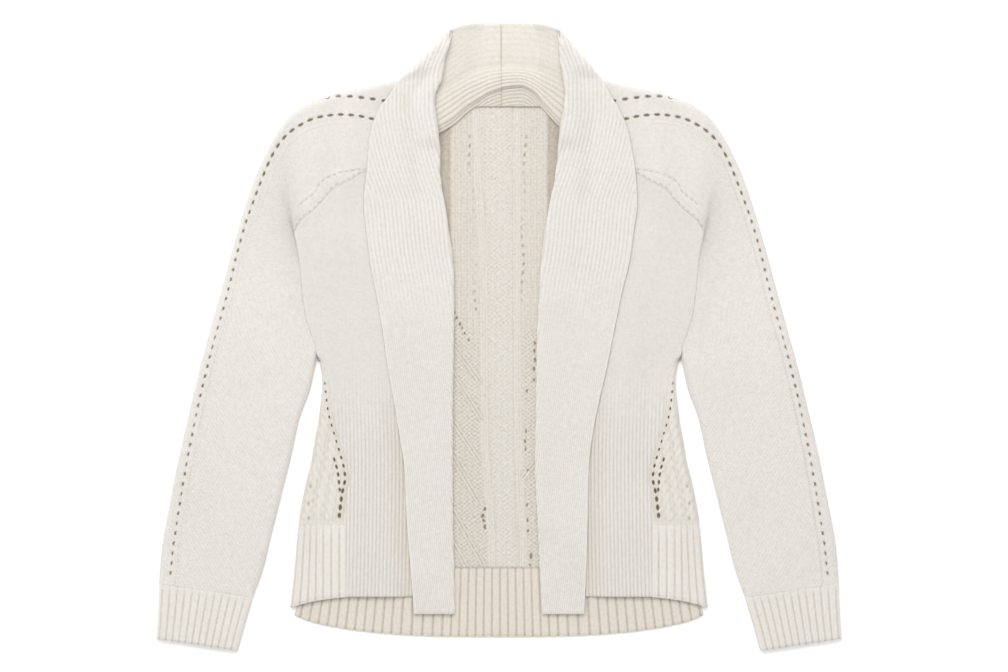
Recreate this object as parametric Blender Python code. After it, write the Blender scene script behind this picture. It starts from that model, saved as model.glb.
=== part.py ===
"""Open-front knitted cardigan with a shawl collar, laid flat on its back.

Lengths are in millimetres until a mesh is made. X runs to the viewer's right, Y towards the
collar and Z up from the surface that the cardigan lies on. Most pieces are worked out for the
right half, where x is the distance from the middle, and mirrored for the left.
"""

import bmesh
import bpy
import numpy as np

MILLIMETRE = 0.001

# Cloth and seams
WALL = 2.3
SEAM = 0.3
LAYER = WALL + SEAM
RIB_RISE = 0.8
CABLE_RISE = 1.3
FOLD_REACH = 5.5
FOLD_CLEAR = 3.9
SEAM_DIP = 3.0

# Heights of the layers above the surface
BACK_MIDDLE = WALL / 2
FRONT_MIDDLE = LAYER + WALL / 2
LOFT = 2.9
LOFT_REACH = 30.0

# Rib widths
COLLAR_RIB = 5.7
FRONT_RIB = 4.5
HEM_RIB = 9.0
CUFF_RIBS = 10
FRONT_RIBS_FROM = 94.0
FRONT_RIBS_TO = 171.0
FRONT_RIBS_TOP = -60.0
PLAIN_STEP = 8

# Openwork
HOLE_LONG = 6.6
HOLE_WIDE = 3.6
SLEEVE_HOLE_PITCH = 11.2
SLEEVE_HOLE_SPREAD = 0.045
SLEEVE_HOLE_SPREAD_END = 170.0
SHOULDER_HOLE_PITCH = 12.8
SIDE_HOLE_LONG = 7.0
SIDE_HOLE_WIDE = 3.4
SIDE_HOLE_PITCH = 11.6
HOLE_SIDES = 4

# Places along the body
HEM_MIDDLE_Y = -336.0
HEM_TOP_Y = -259.0
FRONT_HEM_Y = -291.0
UNDER_SEAM = 1.5
JOIN_WITHIN = 0.8
FLOOR_COLUMNS = 29
FLOOR_HALF = 217.0
WRAP_TOP_Y = -210.0
SIDE_TOP_Y = -27.0
SIDE_ROWS = (-209.5, -202, -191, -180, -169, -158, -147, -136, -125, -114, -98, -65)
UNDER_DIP = 0.45
ARMHOLE_EASE = 1.2
SHOULDER_CLEAR = 2.2
NECK_Y = 262.0
NECK_HALF = 52.0
NECK_SEAM_Y = 258.0
COLLAR_SEAM_X = 2.5
COLLAR_TOP_Y = 352.4
FALL_LENGTH = 45.0
STAND_MIDDLE = 6.4
STAND_RIBS = 9
BUMP_RIBS = 5
TOP_STEPS = 7


def table(columns, *rows):
    """A table with named columns, one array for each."""
    return dict(zip(columns.split(), np.array(rows, float).T))


# Half width of the body's side fold, and of the seam between the front and side panels
BODY = table(
    "y side front",
    (-303, 234.0, 171.5),
    (-272, 230.2, 171.5),
    (-227, 226.2, 172.0),
    (-205, 224.0, 173.0),
    (-176, 219.0, 170.5),
    (-158, 215.0, 167.0),
    (-138, 210.0, 170.5),
    (-118, 206.8, 177.5),
    (-93, 202.2, 184.0),
    (-48, 198.0, 190.5),
    (-27, 201.0, 193.5),
)

# The sleeve's stations from the neck to the cuff: its inner edge, which is the yoke and armhole
# seam down to the underarm, and its outer fold
SLEEVE = table(
    "station in_x in_y out_x out_y",
    (0, 83.0, 215.0, 90.0, 284.0),
    (1, 120.0, 199.0, 115.0, 286.5),
    (2, 149.0, 186.0, 138.0, 282.2),
    (3, 167.0, 176.0, 158.0, 278.0),
    (4, 184.0, 167.0, 178.0, 273.5),
    (5, 198.0, 152.0, 197.0, 267.5),
    (6, 209.0, 141.0, 214.5, 260.5),
    (7, 221.0, 131.0, 230.5, 250.5),
    (8, 229.0, 116.0, 248.0, 229.0),
    (9, 226.5, 104.0, 264.5, 198.0),
    (10, 223.0, 80.0, 281.0, 156.0),
    (11, 220.5, 52.0, 293.5, 115.0),
    (12, 217.0, 26.0, 304.0, 78.0),
    (13, 210.5, 4.0, 313.5, 43.0),
    (14, 204.0, -18.0, 322.5, 10.0),
    (15, 210.0, -54.0, 333.7, -30.0),
    (16, 223.4, -93.0, 342.8, -67.0),
    (17, 232.0, -132.0, 351.8, -106.0),
    (18, 243.5, -178.0, 361.9, -153.0),
    (19, 255.0, -224.0, 371.0, -200.0),
    (20, 263.0, -257.0, 377.2, -236.0),
    (21, 275.0, -291.0, 380.4, -276.0),
)
UNDERARM = 14
CUFF = 21
SLEEVE_TURN = 0.2
EDGE_STEP = 0.05

CUFF_END = table(
    "end in_x in_y out_x out_y",
    (0, 275.4, -291.35, 380.5, -276.35),
    (1, 284.5, -322.0, 381.6, -308.0),
    (2, 292.6, -351.5, 383.6, -338.0),
)

# The lapel's outer edge and roll line with their shift to the viewer's right, the width of the
# under layer behind the roll, and the heights of the underside at the roll and at the outer edge
LAPEL = table(
    "y outer outer_shift roll roll_shift under base edge",
    (-310, 95.2, 0.0, 48.7, -0.6, 42.0, 2.6, 5.2),
    (-274, 97.2, -0.3, 48.2, -1.7, 39.0, 2.6, 5.2),
    (-208, 101.0, -2.0, 47.3, -4.1, 32.0, 2.6, 5.2),
    (-148, 103.0, -2.8, 45.9, -5.6, 26.0, 2.6, 5.2),
    (-105, 108.6, -3.4, 46.1, -5.4, 22.0, 2.6, 5.2),
    (-71, 114.8, -2.8, 46.5, -5.0, 20.0, 2.6, 5.2),
    (-34, 122.3, -1.9, 46.5, -4.5, 18.0, 2.6, 5.2),
    (10, 129.9, -0.7, 46.6, -3.7, 17.0, 2.6, 5.2),
    (53, 138.0, 0.0, 48.0, -2.4, 16.0, 2.6, 5.2),
    (84, 144.7, 0.9, 49.4, -2.1, 15.0, 2.6, 5.3),
    (119, 149.3, 1.2, 53.8, -2.2, 14.0, 2.6, 5.4),
    (149, 152.7, 1.6, 59.0, -1.9, 13.0, 2.6, 5.6),
    (187, 149.9, 2.2, 65.0, -1.1, 11.0, 2.6, 5.8),
    (206, 147.5, 1.4, 66.0, 0.0, 9.0, 2.6, 5.8),
    (226, 144.5, 0.6, 67.3, 0.0, 7.0, 8.4, 5.9),
    (256, 133.3, 0.0, 71.7, 0.4, 5.0, 9.2, 6.0),
    (271, 123.2, 1.1, 72.8, 1.7, 4.0, 9.2, 6.0),
    (286, 114.6, 1.7, 68.3, 3.4, 3.5, 8.8, 5.8),
    (293, 108.0, 3.0, 67.0, 3.5, 3.0, 8.4, 0.0),
    (306, 95.8, 5.0, 65.0, 3.7, 3.0, 8.2, 0.0),
    (321, 80.1, 6.2, 61.2, 4.9, 3.0, 8.0, 0.0),
    (334, 68.5, 6.6, 55.5, 6.0, 3.0, 7.8, 0.0),
)

# One collar rib, followed down the lapel: above the chest it leans, below it keeps to the outer edge
RIB_LINE = table(
    "y x",
    (334, 89.0),
    (287, 105.0),
    (256, 105.5),
    (226, 101.0),
    (187, 91.0),
    (149, 79.0),
    (100, 74.0),
    (53, 66.0),
    (-310, 23.0),
)
RIBS_OUTWARD = 8
RIBS_INWARD = 16
RIB_FADE_HIGH = 90.0
RIB_FADE_LOW = 20.0

# The fold behind the neck: its lower lip and the crease above it on each side
ARCH = table(
    "x lip_left lip_right crease_left crease_right rise",
    (0, 276.0, 276.5, 303.0, 303.0, 5.0),
    (12, 271.0, 279.0, 302.5, 303.0, 5.0),
    (24, 263.0, 280.0, 300.5, 302.5, 4.8),
    (36, 255.0, 274.0, 297.0, 302.0, 4.4),
    (48, 244.5, 260.0, 291.0, 300.0, 3.6),
    (60, 237.0, 247.5, 283.0, 296.0, 2.6),
    (72, 231.0, 237.0, 275.0, 290.0, 1.4),
)

# Soft folds of the front layer: a straight line each, half width and rise (troughs are negative)
FOLDS = table(
    "x0 y0 x1 y1 width rise",
    (167, 150, 170, -170, 16, -1.1),
    (196, 60, 200, -60, 12, 0.8),
    (262, 90, 290, -150, 22, -0.8),
    (300, 20, 330, -200, 16, 0.6),
)

# The row of holes down the sleeve, the short row above it and the rows of the side panel
SLEEVE_HOLES = table(
    "x y",
    (142, 244.0),
    (160, 247.5),
    (178, 248.5),
    (200, 246.0),
    (222, 237.0),
    (240, 223.0),
    (253, 204.0),
    (262, 184.0),
    (271, 161.0),
    (284, 124.0),
    (294, 88.0),
    (303, 51.0),
    (327, -37.0),
    (348, -135.0),
    (364, -235.0),
    (367, -264.0),
)
SHOULDER_HOLES = table(
    "x y", (192.6, 268.0), (179.2, 269.6), (166.2, 268.9), (152.7, 267.5), (140.3, 265.8), (128.1, 264.0)
)
SIDE_HOLES = table(
    "x y",
    (194.5, -52.0),
    (191.0, -83.0),
    (182.5, -114.0),
    (173.5, -146.0),
    (172.0, -158.0),
    (175.5, -176.0),
    (178.5, -200.0),
)
SIDE_HOLES_SHORT = table("x y", (184.0, -137.0), (180.0, -152.0), (178.0, -171.0))

# Cords and sunken lines down the inside of the back, and their heights
BACK_LINES = table(
    "x rise",
    (-44, 0.0),
    (-36, 0.0),
    (-32.5, -0.4),
    (-29.5, 0.2),
    (-27, -0.3),
    (-22.5, 1.2),
    (-18.5, 0.0),
    (-11, 0.8),
    (-3, 0.3),
    (5, 0.8),
    (12.5, 0.0),
    (17, 1.1),
    (21.5, 0.9),
    (26, -0.3),
    (29.5, 0.2),
    (32.5, -0.4),
    (36, 0.0),
    (44, 0.0),
)

SIDE_CABLES = 3
SIDE_CABLE_PITCH = 13.5
SIDE_CABLE_FIRST = 12.0
SIDE_CABLE_TWIST = 22.0
SIDE_CABLE_TOP_Y = -95.0

CREAM = (0.80, 0.76, 0.68)
CREAM_INSIDE = (0.72, 0.67, 0.58)


def smooth(keys, values, at):
    """A curve through the points that never swings past them."""
    order = np.argsort(keys)
    x = np.asarray(keys, float)[order]
    y = np.asarray(values, float)[order]
    step = np.diff(x)
    slope = np.diff(y) / step
    tangent = np.concatenate([slope[:1], np.zeros(len(x) - 2), slope[-1:]])
    for i in range(1, len(x) - 1):
        if slope[i - 1] * slope[i] > 0:
            before = 2 * step[i] + step[i - 1]
            after = step[i] + 2 * step[i - 1]
            tangent[i] = (before + after) / (before / slope[i - 1] + after / slope[i])
    at = np.clip(at, x[0], x[-1])
    i = np.clip(np.searchsorted(x, at, side="right") - 1, 0, len(x) - 2)
    t = (at - x[i]) / step[i]
    return (
        (1 + 2 * t) * (1 - t) ** 2 * y[i]
        + t * (1 - t) ** 2 * step[i] * tangent[i]
        + t**2 * (3 - 2 * t) * y[i + 1]
        + t**2 * (t - 1) * step[i] * tangent[i + 1]
    )


def read(rows, column, at):
    """A column of a table at places between its rows; the first column is the key."""
    return smooth(rows[next(iter(rows))], rows[column], at)


def ease(low, high, at):
    """0 below low, 1 above high, and smooth between."""
    t = np.clip((at - low) / (high - low), 0, 1)
    return t * t * (3 - 2 * t)


def lapel_outer(y, side):
    return read(LAPEL, "outer", y) + side * read(LAPEL, "outer_shift", y)


def fold_shape(x, y):
    """Rise of the soft folds at a place on the front layer."""
    rise = np.zeros(np.broadcast(x, y).shape)
    for i in range(len(FOLDS["x0"])):
        start = np.array([FOLDS["x0"][i], FOLDS["y0"][i]])
        along = np.array([FOLDS["x1"][i], FOLDS["y1"][i]]) - start
        length = np.hypot(*along)
        along /= length
        run = ((x - start[0]) * along[0] + (y - start[1]) * along[1]) / length
        across = (x - start[0]) * along[1] - (y - start[1]) * along[0]
        ends = np.clip(np.sin(np.pi * np.clip(run, 0, 1)), 0, 1)
        rise = rise + FOLDS["rise"][i] * ends * np.exp(-((across / FOLDS["width"][i]) ** 2))
    return rise


def front_middle(x, y, side):
    """Height of the front layer's middle: flat under the lapel, lofted beyond it."""
    lofted = ease(0, LOFT_REACH, x - lapel_outer(y, side))
    return FRONT_MIDDLE + lofted * (LOFT + fold_shape(x, y))


def rounded(distance, low, high):
    """Height near an edge that rolls down from high to low, at a distance in from the edge."""
    t = np.clip(distance / FOLD_REACH, 0, 1)
    return low + (high - low) * np.sqrt(1 - (1 - t) ** 2)


def edge_steps(count):
    """Distances in from a rolled edge, close together where the cloth turns down."""
    return FOLD_REACH * (1 - np.cos(np.linspace(0, np.pi / 2, count)))


def normals(surface, u, v):
    tiny = 1e-4
    along_u = surface(u + tiny, v) - surface(u - tiny, v)
    along_v = surface(u, v + tiny) - surface(u, v - tiny)
    across = np.cross(along_u, along_v)
    return across / np.linalg.norm(across, axis=-1, keepdims=True)


def layers(surface, u, v, offset):
    """The surface's points on a grid, moved along its normal."""
    grid_u, grid_v = np.meshgrid(u, v)
    return surface(grid_u, grid_v) + normals(surface, grid_u, grid_v) * offset


def zip_strips(mesh, first, second, first_share, second_share):
    """Triangles between two rows of vertices that may have different counts, matched by shares."""
    i = 0
    j = 0
    while i < len(first) - 1 or j < len(second) - 1:
        step_first = j == len(second) - 1 or (
            i < len(first) - 1 and first_share[i + 1] <= second_share[j + 1]
        )
        if step_first:
            mesh.faces.new((first[i], second[j], first[i + 1]))
            i += 1
        else:
            mesh.faces.new((first[i], second[j], second[j + 1]))
            j += 1


def grid_faces(mesh, points, closed):
    rows = [[mesh.verts.new(point * MILLIMETRE) for point in row] for row in points]
    for low, high in zip(rows, rows[1:]):
        count = len(low) if closed else len(low) - 1
        for i in range(count):
            k = (i + 1) % len(low)
            mesh.faces.new((low[i], low[k], high[k], high[i]))
    return rows


def cloth_object(name, outer, inner, shares, side=1, closed=False, colour=CREAM):
    """One closed wall between two grids of points, the finer outer one and a plain inner one.

    The shares say how far along its row each column of the two grids lies, from 0 to 1.
    """
    flip = np.array([side, 1, 1])
    even = np.linspace(0, 1, len(outer))
    mesh = bmesh.new()
    outer_rows = grid_faces(mesh, outer * flip, closed)
    inner_rows = grid_faces(mesh, inner * flip, closed)
    for k in (0, -1):
        first = outer_rows[k] + (outer_rows[k][:1] if closed else [])
        second = inner_rows[k] + (inner_rows[k][:1] if closed else [])
        zip_strips(mesh, first, second, shares[0], shares[1])
        if not closed:
            outer_column = [row[k] for row in outer_rows]
            inner_column = [row[k] for row in inner_rows]
            zip_strips(mesh, outer_column, inner_column, even, even)
    bmesh.ops.remove_doubles(mesh, verts=mesh.verts, dist=0.00001)
    bmesh.ops.triangulate(mesh, faces=mesh.faces)
    bmesh.ops.recalc_face_normals(mesh, faces=mesh.faces)
    if mesh.calc_volume(signed=True) < 0:
        bmesh.ops.reverse_faces(mesh, faces=mesh.faces)
    data = bpy.data.meshes.new(name)
    mesh.to_mesh(data)
    mesh.free()
    data.shade_smooth()
    thing = bpy.data.objects.new(name, data)
    bpy.context.scene.collection.objects.link(thing)
    data.materials.append(knit_material(name, colour))
    return thing


def knit_material(name, colour):
    material = bpy.data.materials.new(name + "_knit")
    material.use_nodes = True
    shader = material.node_tree.nodes["Principled BSDF"]
    shader.inputs["Base Color"].default_value = (*colour, 1.0)
    shader.inputs["Roughness"].default_value = 0.9
    shader.inputs["Metallic"].default_value = 0.0
    return material


def sleeve_edges(station):
    inner = np.stack([read(SLEEVE, "in_x", station), read(SLEEVE, "in_y", station)], -1)
    outer = np.stack([read(SLEEVE, "out_x", station), read(SLEEVE, "out_y", station)], -1)
    return inner, outer


def seam_slant(station, across):
    """Cosine between a station's own direction and the square crossing of the seam."""
    return np.maximum(0.4, (seam_offset(station) * across).sum(-1))


def seam_offset(station):
    """Outward direction across the yoke and armhole seam, as a unit vector."""
    step = 0.02
    ahead = sleeve_edges(station + step)[0]
    behind = sleeve_edges(station - step)[0]
    along = ahead - behind
    length = np.linalg.norm(along, axis=-1, keepdims=True)
    return np.stack([-along[..., 1], along[..., 0]], -1) / length


def sleeve_stations():
    upper = [0, 1, 2, 3.5, 5, 6, 7, 8, 9, 10.5, 12, 13, UNDERARM]
    return np.array(upper + [14.8, 16, 17.5, 19, 20, CUFF - 0.005])


def armhole_x(side_gap):
    """Stations of the seam with the half width of the body there, side_gap inside the seam."""
    stations = sleeve_stations()
    stations = stations[stations <= UNDERARM]
    seam = sleeve_edges(stations)[0]
    gap = side_gap + ARMHOLE_EASE * ease(5, 7, stations)
    points = seam - seam_offset(stations) * gap[:, None]
    return points[::-1]


def sleeve_front_surface(side):
    """Middle of the upper wall: u from the seam or inner fold to the outer fold, v is the station."""

    def surface(u, v):
        inner, outer = sleeve_edges(v)
        across = outer - inner
        width = np.linalg.norm(across, axis=-1)
        across = across / width[..., None]
        turn = SLEEVE_TURN
        start = (WALL / 2 + SEAM) / seam_slant(v, across)
        reach = FOLD_REACH
        low_part = start + reach * (1 - np.cos(np.clip(u / turn, -0.01, 1) * np.pi / 2))
        high_part = (
            width
            - WALL / 2
            - reach * (1 - np.cos(np.clip((1 - u) / turn, -0.01, 1) * np.pi / 2))
        )
        middle_part = start + reach + (u - turn) / (1 - 2 * turn) * (
            width - WALL / 2 - start - 2 * reach
        )
        distance = np.where(u < turn, low_part, np.where(u > 1 - turn, high_part, middle_part))
        place = inner + across * distance[..., None]
        middle = front_middle(place[..., 0], place[..., 1], side)
        inner_low = LAYER * (1 - ease(UNDERARM, UNDERARM + 0.8, v))
        height = middle
        rise_in = np.sin(np.clip(u / turn, -0.01, 1) * np.pi / 2)
        rise_out = np.sin(np.clip((1 - u) / turn, -0.01, 1) * np.pi / 2)
        height = np.where(u < turn, inner_low + (middle - inner_low) * rise_in, height)
        height = np.where(u > 1 - turn, middle * rise_out, height)
        return np.concatenate([place, height[..., None]], -1)

    return surface


def sleeve_back_surface(u, v):
    """Middle of the lower wall, flat on the surface between the folds of the upper wall."""
    inner, outer = sleeve_edges(v)
    across = outer - inner
    width = np.linalg.norm(across, axis=-1)
    across = across / width[..., None]
    free_fold = ease(UNDERARM - 1, UNDERARM, v)
    start = (SEAM / 2 + (FOLD_CLEAR - SEAM / 2) * free_fold) / seam_slant(v, across)
    before = sleeve_edges(v - EDGE_STEP)[1]
    after = sleeve_edges(v + EDGE_STEP)[1]
    along = (after - before) / np.linalg.norm(after - before, axis=-1)[..., None]
    outer_slant = np.abs(along[..., 0] * across[..., 1] - along[..., 1] * across[..., 0])
    stop = (FOLD_CLEAR + SHOULDER_CLEAR * ease(5, 3, v)) / np.maximum(outer_slant, 0.4)
    distance = start + u * (width - stop - start)
    place = inner + across * distance[..., None]
    return np.concatenate([place, np.full_like(place[..., :1], BACK_MIDDLE)], -1)


def hole_places(route, pitch, spread=0.0, spread_end=0.0):
    """Centres and directions of holes along a route, further apart by spread as far as spread_end."""
    keys = np.arange(len(route["x"]))
    fine = np.linspace(0, keys[-1], 400)
    x = smooth(keys, route["x"], fine)
    y = smooth(keys, route["y"], fine)
    run = np.concatenate([[0], np.cumsum(np.hypot(np.diff(x), np.diff(y)))])
    paced = run - spread * np.minimum(run, spread_end)
    count = int(round(paced[-1] / pitch))
    at = np.interp(np.linspace(0, paced[-1], count + 1), paced, run)
    place_x = np.interp(at, run, x)
    place_y = np.interp(at, run, y)
    turn = np.arctan2(np.interp(at, run, np.gradient(y)), np.interp(at, run, np.gradient(x)))
    return list(zip(place_x, place_y, turn))


def hole_cutter(name, places, length, width, side):
    """One hidden object holding a prism for each hole, above the lower wall."""
    low = LAYER
    high = FRONT_MIDDLE + LOFT + 6
    mesh = bmesh.new()
    corner = np.linspace(0, 2 * np.pi, HOLE_SIDES, endpoint=False)
    for x, y, turn in places:
        along = np.cos(corner) * length / 2
        across = np.sin(corner) * width / 2
        ring_x = side * (x + along * np.cos(turn) - across * np.sin(turn))
        ring_y = y + along * np.sin(turn) + across * np.cos(turn)
        rings = [
            [mesh.verts.new(np.array([a, b, z]) * MILLIMETRE) for a, b in zip(ring_x, ring_y)]
            for z in (low, high)
        ]
        mesh.faces.new(rings[0])
        mesh.faces.new(rings[1])
        for k in range(HOLE_SIDES):
            n = (k + 1) % HOLE_SIDES
            mesh.faces.new((rings[0][k], rings[0][n], rings[1][n], rings[1][k]))
    bmesh.ops.recalc_face_normals(mesh, faces=mesh.faces)
    data = bpy.data.meshes.new(name)
    mesh.to_mesh(data)
    mesh.free()
    cutter = bpy.data.objects.new(name, data)
    bpy.context.scene.collection.objects.link(cutter)
    cutter.hide_render = True
    cutter.display_type = "WIRE"
    return cutter


def cut_holes(thing, cutter):
    cut = thing.modifiers.new("openwork", "BOOLEAN")
    cut.operation = "DIFFERENCE"
    cut.solver = "EXACT"
    cut.object = cutter


def make_sleeve(side, word):
    surface = sleeve_front_surface(side)
    stations = sleeve_stations()
    roll_steps = np.linspace(0, SLEEVE_TURN, 4)
    across = np.concatenate([roll_steps, [0.35, 0.65], 1 - roll_steps[::-1]])
    inner_across = np.array([0, 0.1, SLEEVE_TURN, 0.5, 1 - SLEEVE_TURN, 0.9, 1])
    outer = layers(surface, across, stations, -WALL / 2)
    inner = layers(surface, inner_across, stations, WALL / 2)
    yoke = stations <= UNDERARM
    seam_part = inner_across < 0.5
    floor = np.where(yoke[:, None] & seam_part[None, :], LAYER, 0)
    inner[..., 2] = np.maximum(inner[..., 2], floor)
    shares = (across, inner_across)
    front = cloth_object("sleeve_front_" + word, outer, inner, shares, side)
    places = hole_places(SLEEVE_HOLES, SLEEVE_HOLE_PITCH, SLEEVE_HOLE_SPREAD, SLEEVE_HOLE_SPREAD_END)
    places += hole_places(SHOULDER_HOLES, SHOULDER_HOLE_PITCH)
    cut_holes(front, hole_cutter("sleeve_holes_" + word, places, HOLE_LONG, HOLE_WIDE, side))
    flat = np.array([0.0, 1.0])
    top = layers(sleeve_back_surface, flat, stations, -WALL / 2)
    bottom = layers(sleeve_back_surface, flat, stations, WALL / 2)
    cloth_object("sleeve_back_" + word, top, bottom, (flat, flat), side, colour=CREAM_INSIDE)


def make_cuff(side, word):
    """A flattened rib tube, plain where it lies on the surface and inside."""
    height = FRONT_MIDDLE + LOFT + WALL / 2
    half_gap = 0.6
    rows = np.array([0, 1.0, 2.0])

    def ring(end, width_share, offset, rise):
        inner = np.array([read(CUFF_END, "in_x", end), read(CUFF_END, "in_y", end)])
        outer = np.array([read(CUFF_END, "out_x", end), read(CUFF_END, "out_y", end)])
        place = inner + (outer - inner) * np.asarray(width_share)[:, None]
        across = (outer - inner) / np.linalg.norm(outer - inner)
        place = place + across * np.asarray(offset)[:, None]
        return np.concatenate([place, np.asarray(rise)[:, None]], -1)

    ribs = 2 * CUFF_RIBS
    share = np.linspace(0.03, 0.97, ribs + 1)
    lid = np.linspace(0, 1, 9)
    inner_share = np.concatenate([lid, lid[-2:0:-1]])
    inner_lift = half_gap * np.concatenate([[0], np.ones(7), [0], -np.ones(7)])
    inner_shift = (WALL + 0.6) * np.concatenate([[1], np.zeros(7), [-1], np.zeros(7)])
    floor_share = np.linspace(1, 0, 5)
    outer_round = np.concatenate([[0, 0.01], share / 2, [0.49], 1 - floor_share[:-1] / 2, [1.0]])
    inner_round = np.linspace(0, 1, 17)
    lift = np.where(np.arange(ribs + 1) % 2 == 1, RIB_RISE, -0.2)
    top = height - 1.2 + lift
    outer_rows = []
    inner_rows = []
    for end in rows:
        width_share = np.concatenate([[0, 0], share, [1], floor_share[:-1]])
        offset = np.concatenate([[0.9, 0], np.zeros(ribs + 1), [0, -0.9, 0, 0, 0]])
        rise = np.concatenate([[0, height * 0.45], top, [height * 0.45, 0, 0, 0, 0]])
        outer_rows.append(ring(end, width_share, offset, rise))
        middle = height * 0.46
        inner_rows.append(ring(end, inner_share, inner_shift, middle + inner_lift))
    shares = (outer_round, inner_round)
    outer = np.array(outer_rows)
    cloth_object("cuff_" + word, outer, np.array(inner_rows), shares, side, closed=True)


def make_back():
    """The back panel: flat underside, with the cords of its centre raised on the inside."""
    lower = np.array([HEM_TOP_Y + SEAM, HEM_TOP_Y + 6, WRAP_TOP_Y + 1, -160.0, -105.0, -50.0])
    lower_half = read(BODY, "side", lower) - FOLD_CLEAR
    lower_half[:2] = FLOOR_HALF - FOLD_CLEAR
    seam = armhole_x(SEAM / 2)
    side_top = float(read(BODY, "side", SIDE_TOP_Y)) - FOLD_CLEAR - 1
    start = np.array([[side_top, SIDE_TOP_Y + 1], [seam[0, 0] - FOLD_CLEAR, seam[0, 1] - 1.5]])
    rows = np.concatenate([lower, start[:, 1], seam[:, 1], [NECK_Y]])
    half = np.concatenate([lower_half, start[:, 0], seam[:, 0], [NECK_HALF]])
    lines = BACK_LINES["x"]
    rises = BACK_LINES["rise"]
    points = []
    plain = []
    for height, reach in zip(rows, half):
        x = np.concatenate([[-reach], lines, [reach]])
        lift = np.concatenate([[0], rises, [0]])
        fade = ease(NECK_Y, NECK_Y - 14, height) * ease(HEM_TOP_Y + SEAM, HEM_TOP_Y + 6, height)
        points.append(np.stack([x, np.full_like(x, height), WALL + lift * fade], -1))
        flat_x = np.array([-reach, 0, reach])
        plain.append(np.stack([flat_x, np.full(3, height), np.zeros(3)], -1))
    wide = half[0]
    shares = ((np.concatenate([[-wide], lines, [wide]]) + wide) / (2 * wide), np.array([0, 0.5, 1]))
    outer = np.array(points)
    return cloth_object("back_panel", outer, np.array(plain), shares, colour=CREAM_INSIDE)


def front_edge(y):
    """Half width of the front panel's outer edge, at the side panel or at the armhole."""
    seam = armhole_x(SEAM / 2)
    below = read(BODY, "front", y) - SEAM
    above = np.interp(y, seam[:, 1], seam[:, 0])
    bridge_low = read(BODY, "front", SIDE_TOP_Y) - SEAM
    share = np.clip((y - SIDE_TOP_Y) / (seam[0, 1] - SIDE_TOP_Y), 0, 1)
    bridge = bridge_low + (seam[0, 0] - bridge_low) * share
    return np.where(y <= SIDE_TOP_Y, below, np.where(y >= seam[0, 1], above, bridge))


def under_edge(y, side):
    """Half width of the seam between the front panel and the lapel's under layer."""
    roll = read(LAPEL, "roll", y) + side * read(LAPEL, "roll_shift", y)
    return roll + read(LAPEL, "under", y)


def front_rows():
    seam = armhole_x(SEAM / 2)
    lower = np.array([-290.5, -286, -250, *SIDE_ROWS, SIDE_TOP_Y - 0.5])
    return np.concatenate([lower, seam[:-1, 1]])


def make_front(side, word):
    """The front panel: ribs that are strongest above the hem, over a plain inside."""
    rows = front_rows()
    outer_rows = []
    inner_rows = []
    ribs = np.arange(FRONT_RIBS_FROM, FRONT_RIBS_TO, FRONT_RIB / 2)
    number = np.arange(len(ribs))
    beyond = np.array([184.0, 198.0, 212.0])
    for y in rows:
        edge = float(front_edge(y))
        start = float(under_edge(y, side)) + UNDER_SEAM
        spread = ribs if y < FRONT_RIBS_TOP else ribs[number // PLAIN_STEP * PLAIN_STEP]
        last = edge - FOLD_REACH
        x = np.concatenate([spread, beyond])
        x = np.where(x < start + JOIN_WITHIN, start, np.where(x > last - JOIN_WITHIN, last, x))
        lift = np.where(number % 2 == 1, RIB_RISE, 0.0) * ease(FRONT_RIBS_TOP, -150, y)
        lift = lift * ease(rows[0], rows[1], y)
        lift = lift * ease(0.5, 5, spread - lapel_outer(y, side))
        lift = lift * ease(JOIN_WITHIN, 4, last - spread)
        lift = np.concatenate([[0], lift, np.zeros(len(beyond) + 3)])
        x = np.concatenate([[start], x, edge - edge_steps(4)[::-1][1:]])
        dip = UNDER_DIP * ease(4, -2, x - lapel_outer(y, side))
        top = front_middle(x, y, side) + WALL / 2 - dip
        z = rounded(edge - x, LAYER, top) + lift
        outer_rows.append(np.stack([x, np.full_like(x, y), z], -1))
        flat = np.array([start, (start + edge) / 2, edge - 14, edge - 8, edge - 4, edge - WALL])
        low = front_middle(flat, y, side) - WALL / 2
        z_low = LAYER + (low - LAYER) * np.sqrt(
            1 - (1 - np.clip((edge - WALL - flat) / (FOLD_REACH - WALL), 0, 1)) ** 2
        )
        inner_rows.append(np.stack([flat, np.full_like(flat, y), z_low], -1))
    shares = (row_shares(outer_rows[0]), row_shares(inner_rows[0]))
    outer = np.array(outer_rows)
    cloth_object("front_panel_" + word, outer, np.array(inner_rows), shares, side)


def row_shares(row):
    """How far across its row each point lies, from its x alone."""
    x = row[:, 0]
    return (x - x[0]) / (x[-1] - x[0])


def side_section(y, side, inner_x, outer_x, fine):
    """Upper and under points of a strip that runs from a seam to the side fold and down to the floor."""
    x = np.concatenate([fine, outer_x - edge_steps(5)[::-1][1:]])
    top = front_middle(x, y, side) + WALL / 2
    z = rounded(outer_x - x, 0, top)
    dip = np.sqrt(1 - (1 - np.clip((x - inner_x) / SEAM_DIP, 0, 1)) ** 2)
    z = np.where(x - inner_x < SEAM_DIP, LAYER + WALL + (z - LAYER - WALL) * dip, z)
    near = inner_x + min(SEAM_DIP, 0.4 * (outer_x - FOLD_REACH - inner_x))
    flat = np.array([inner_x, near, outer_x - 5.4, outer_x - 4.2, outer_x - 2.9, outer_x - WALL])
    low = front_middle(flat, y, side) - WALL / 2
    low[0] = LAYER
    z_low = low * np.sqrt(1 - (1 - np.clip((outer_x - WALL - flat) / 3.1, 0, 1)) ** 2)
    return np.stack([x, np.full_like(x, y), z], -1), np.stack([flat, np.full_like(flat, y), z_low], -1)


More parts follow.
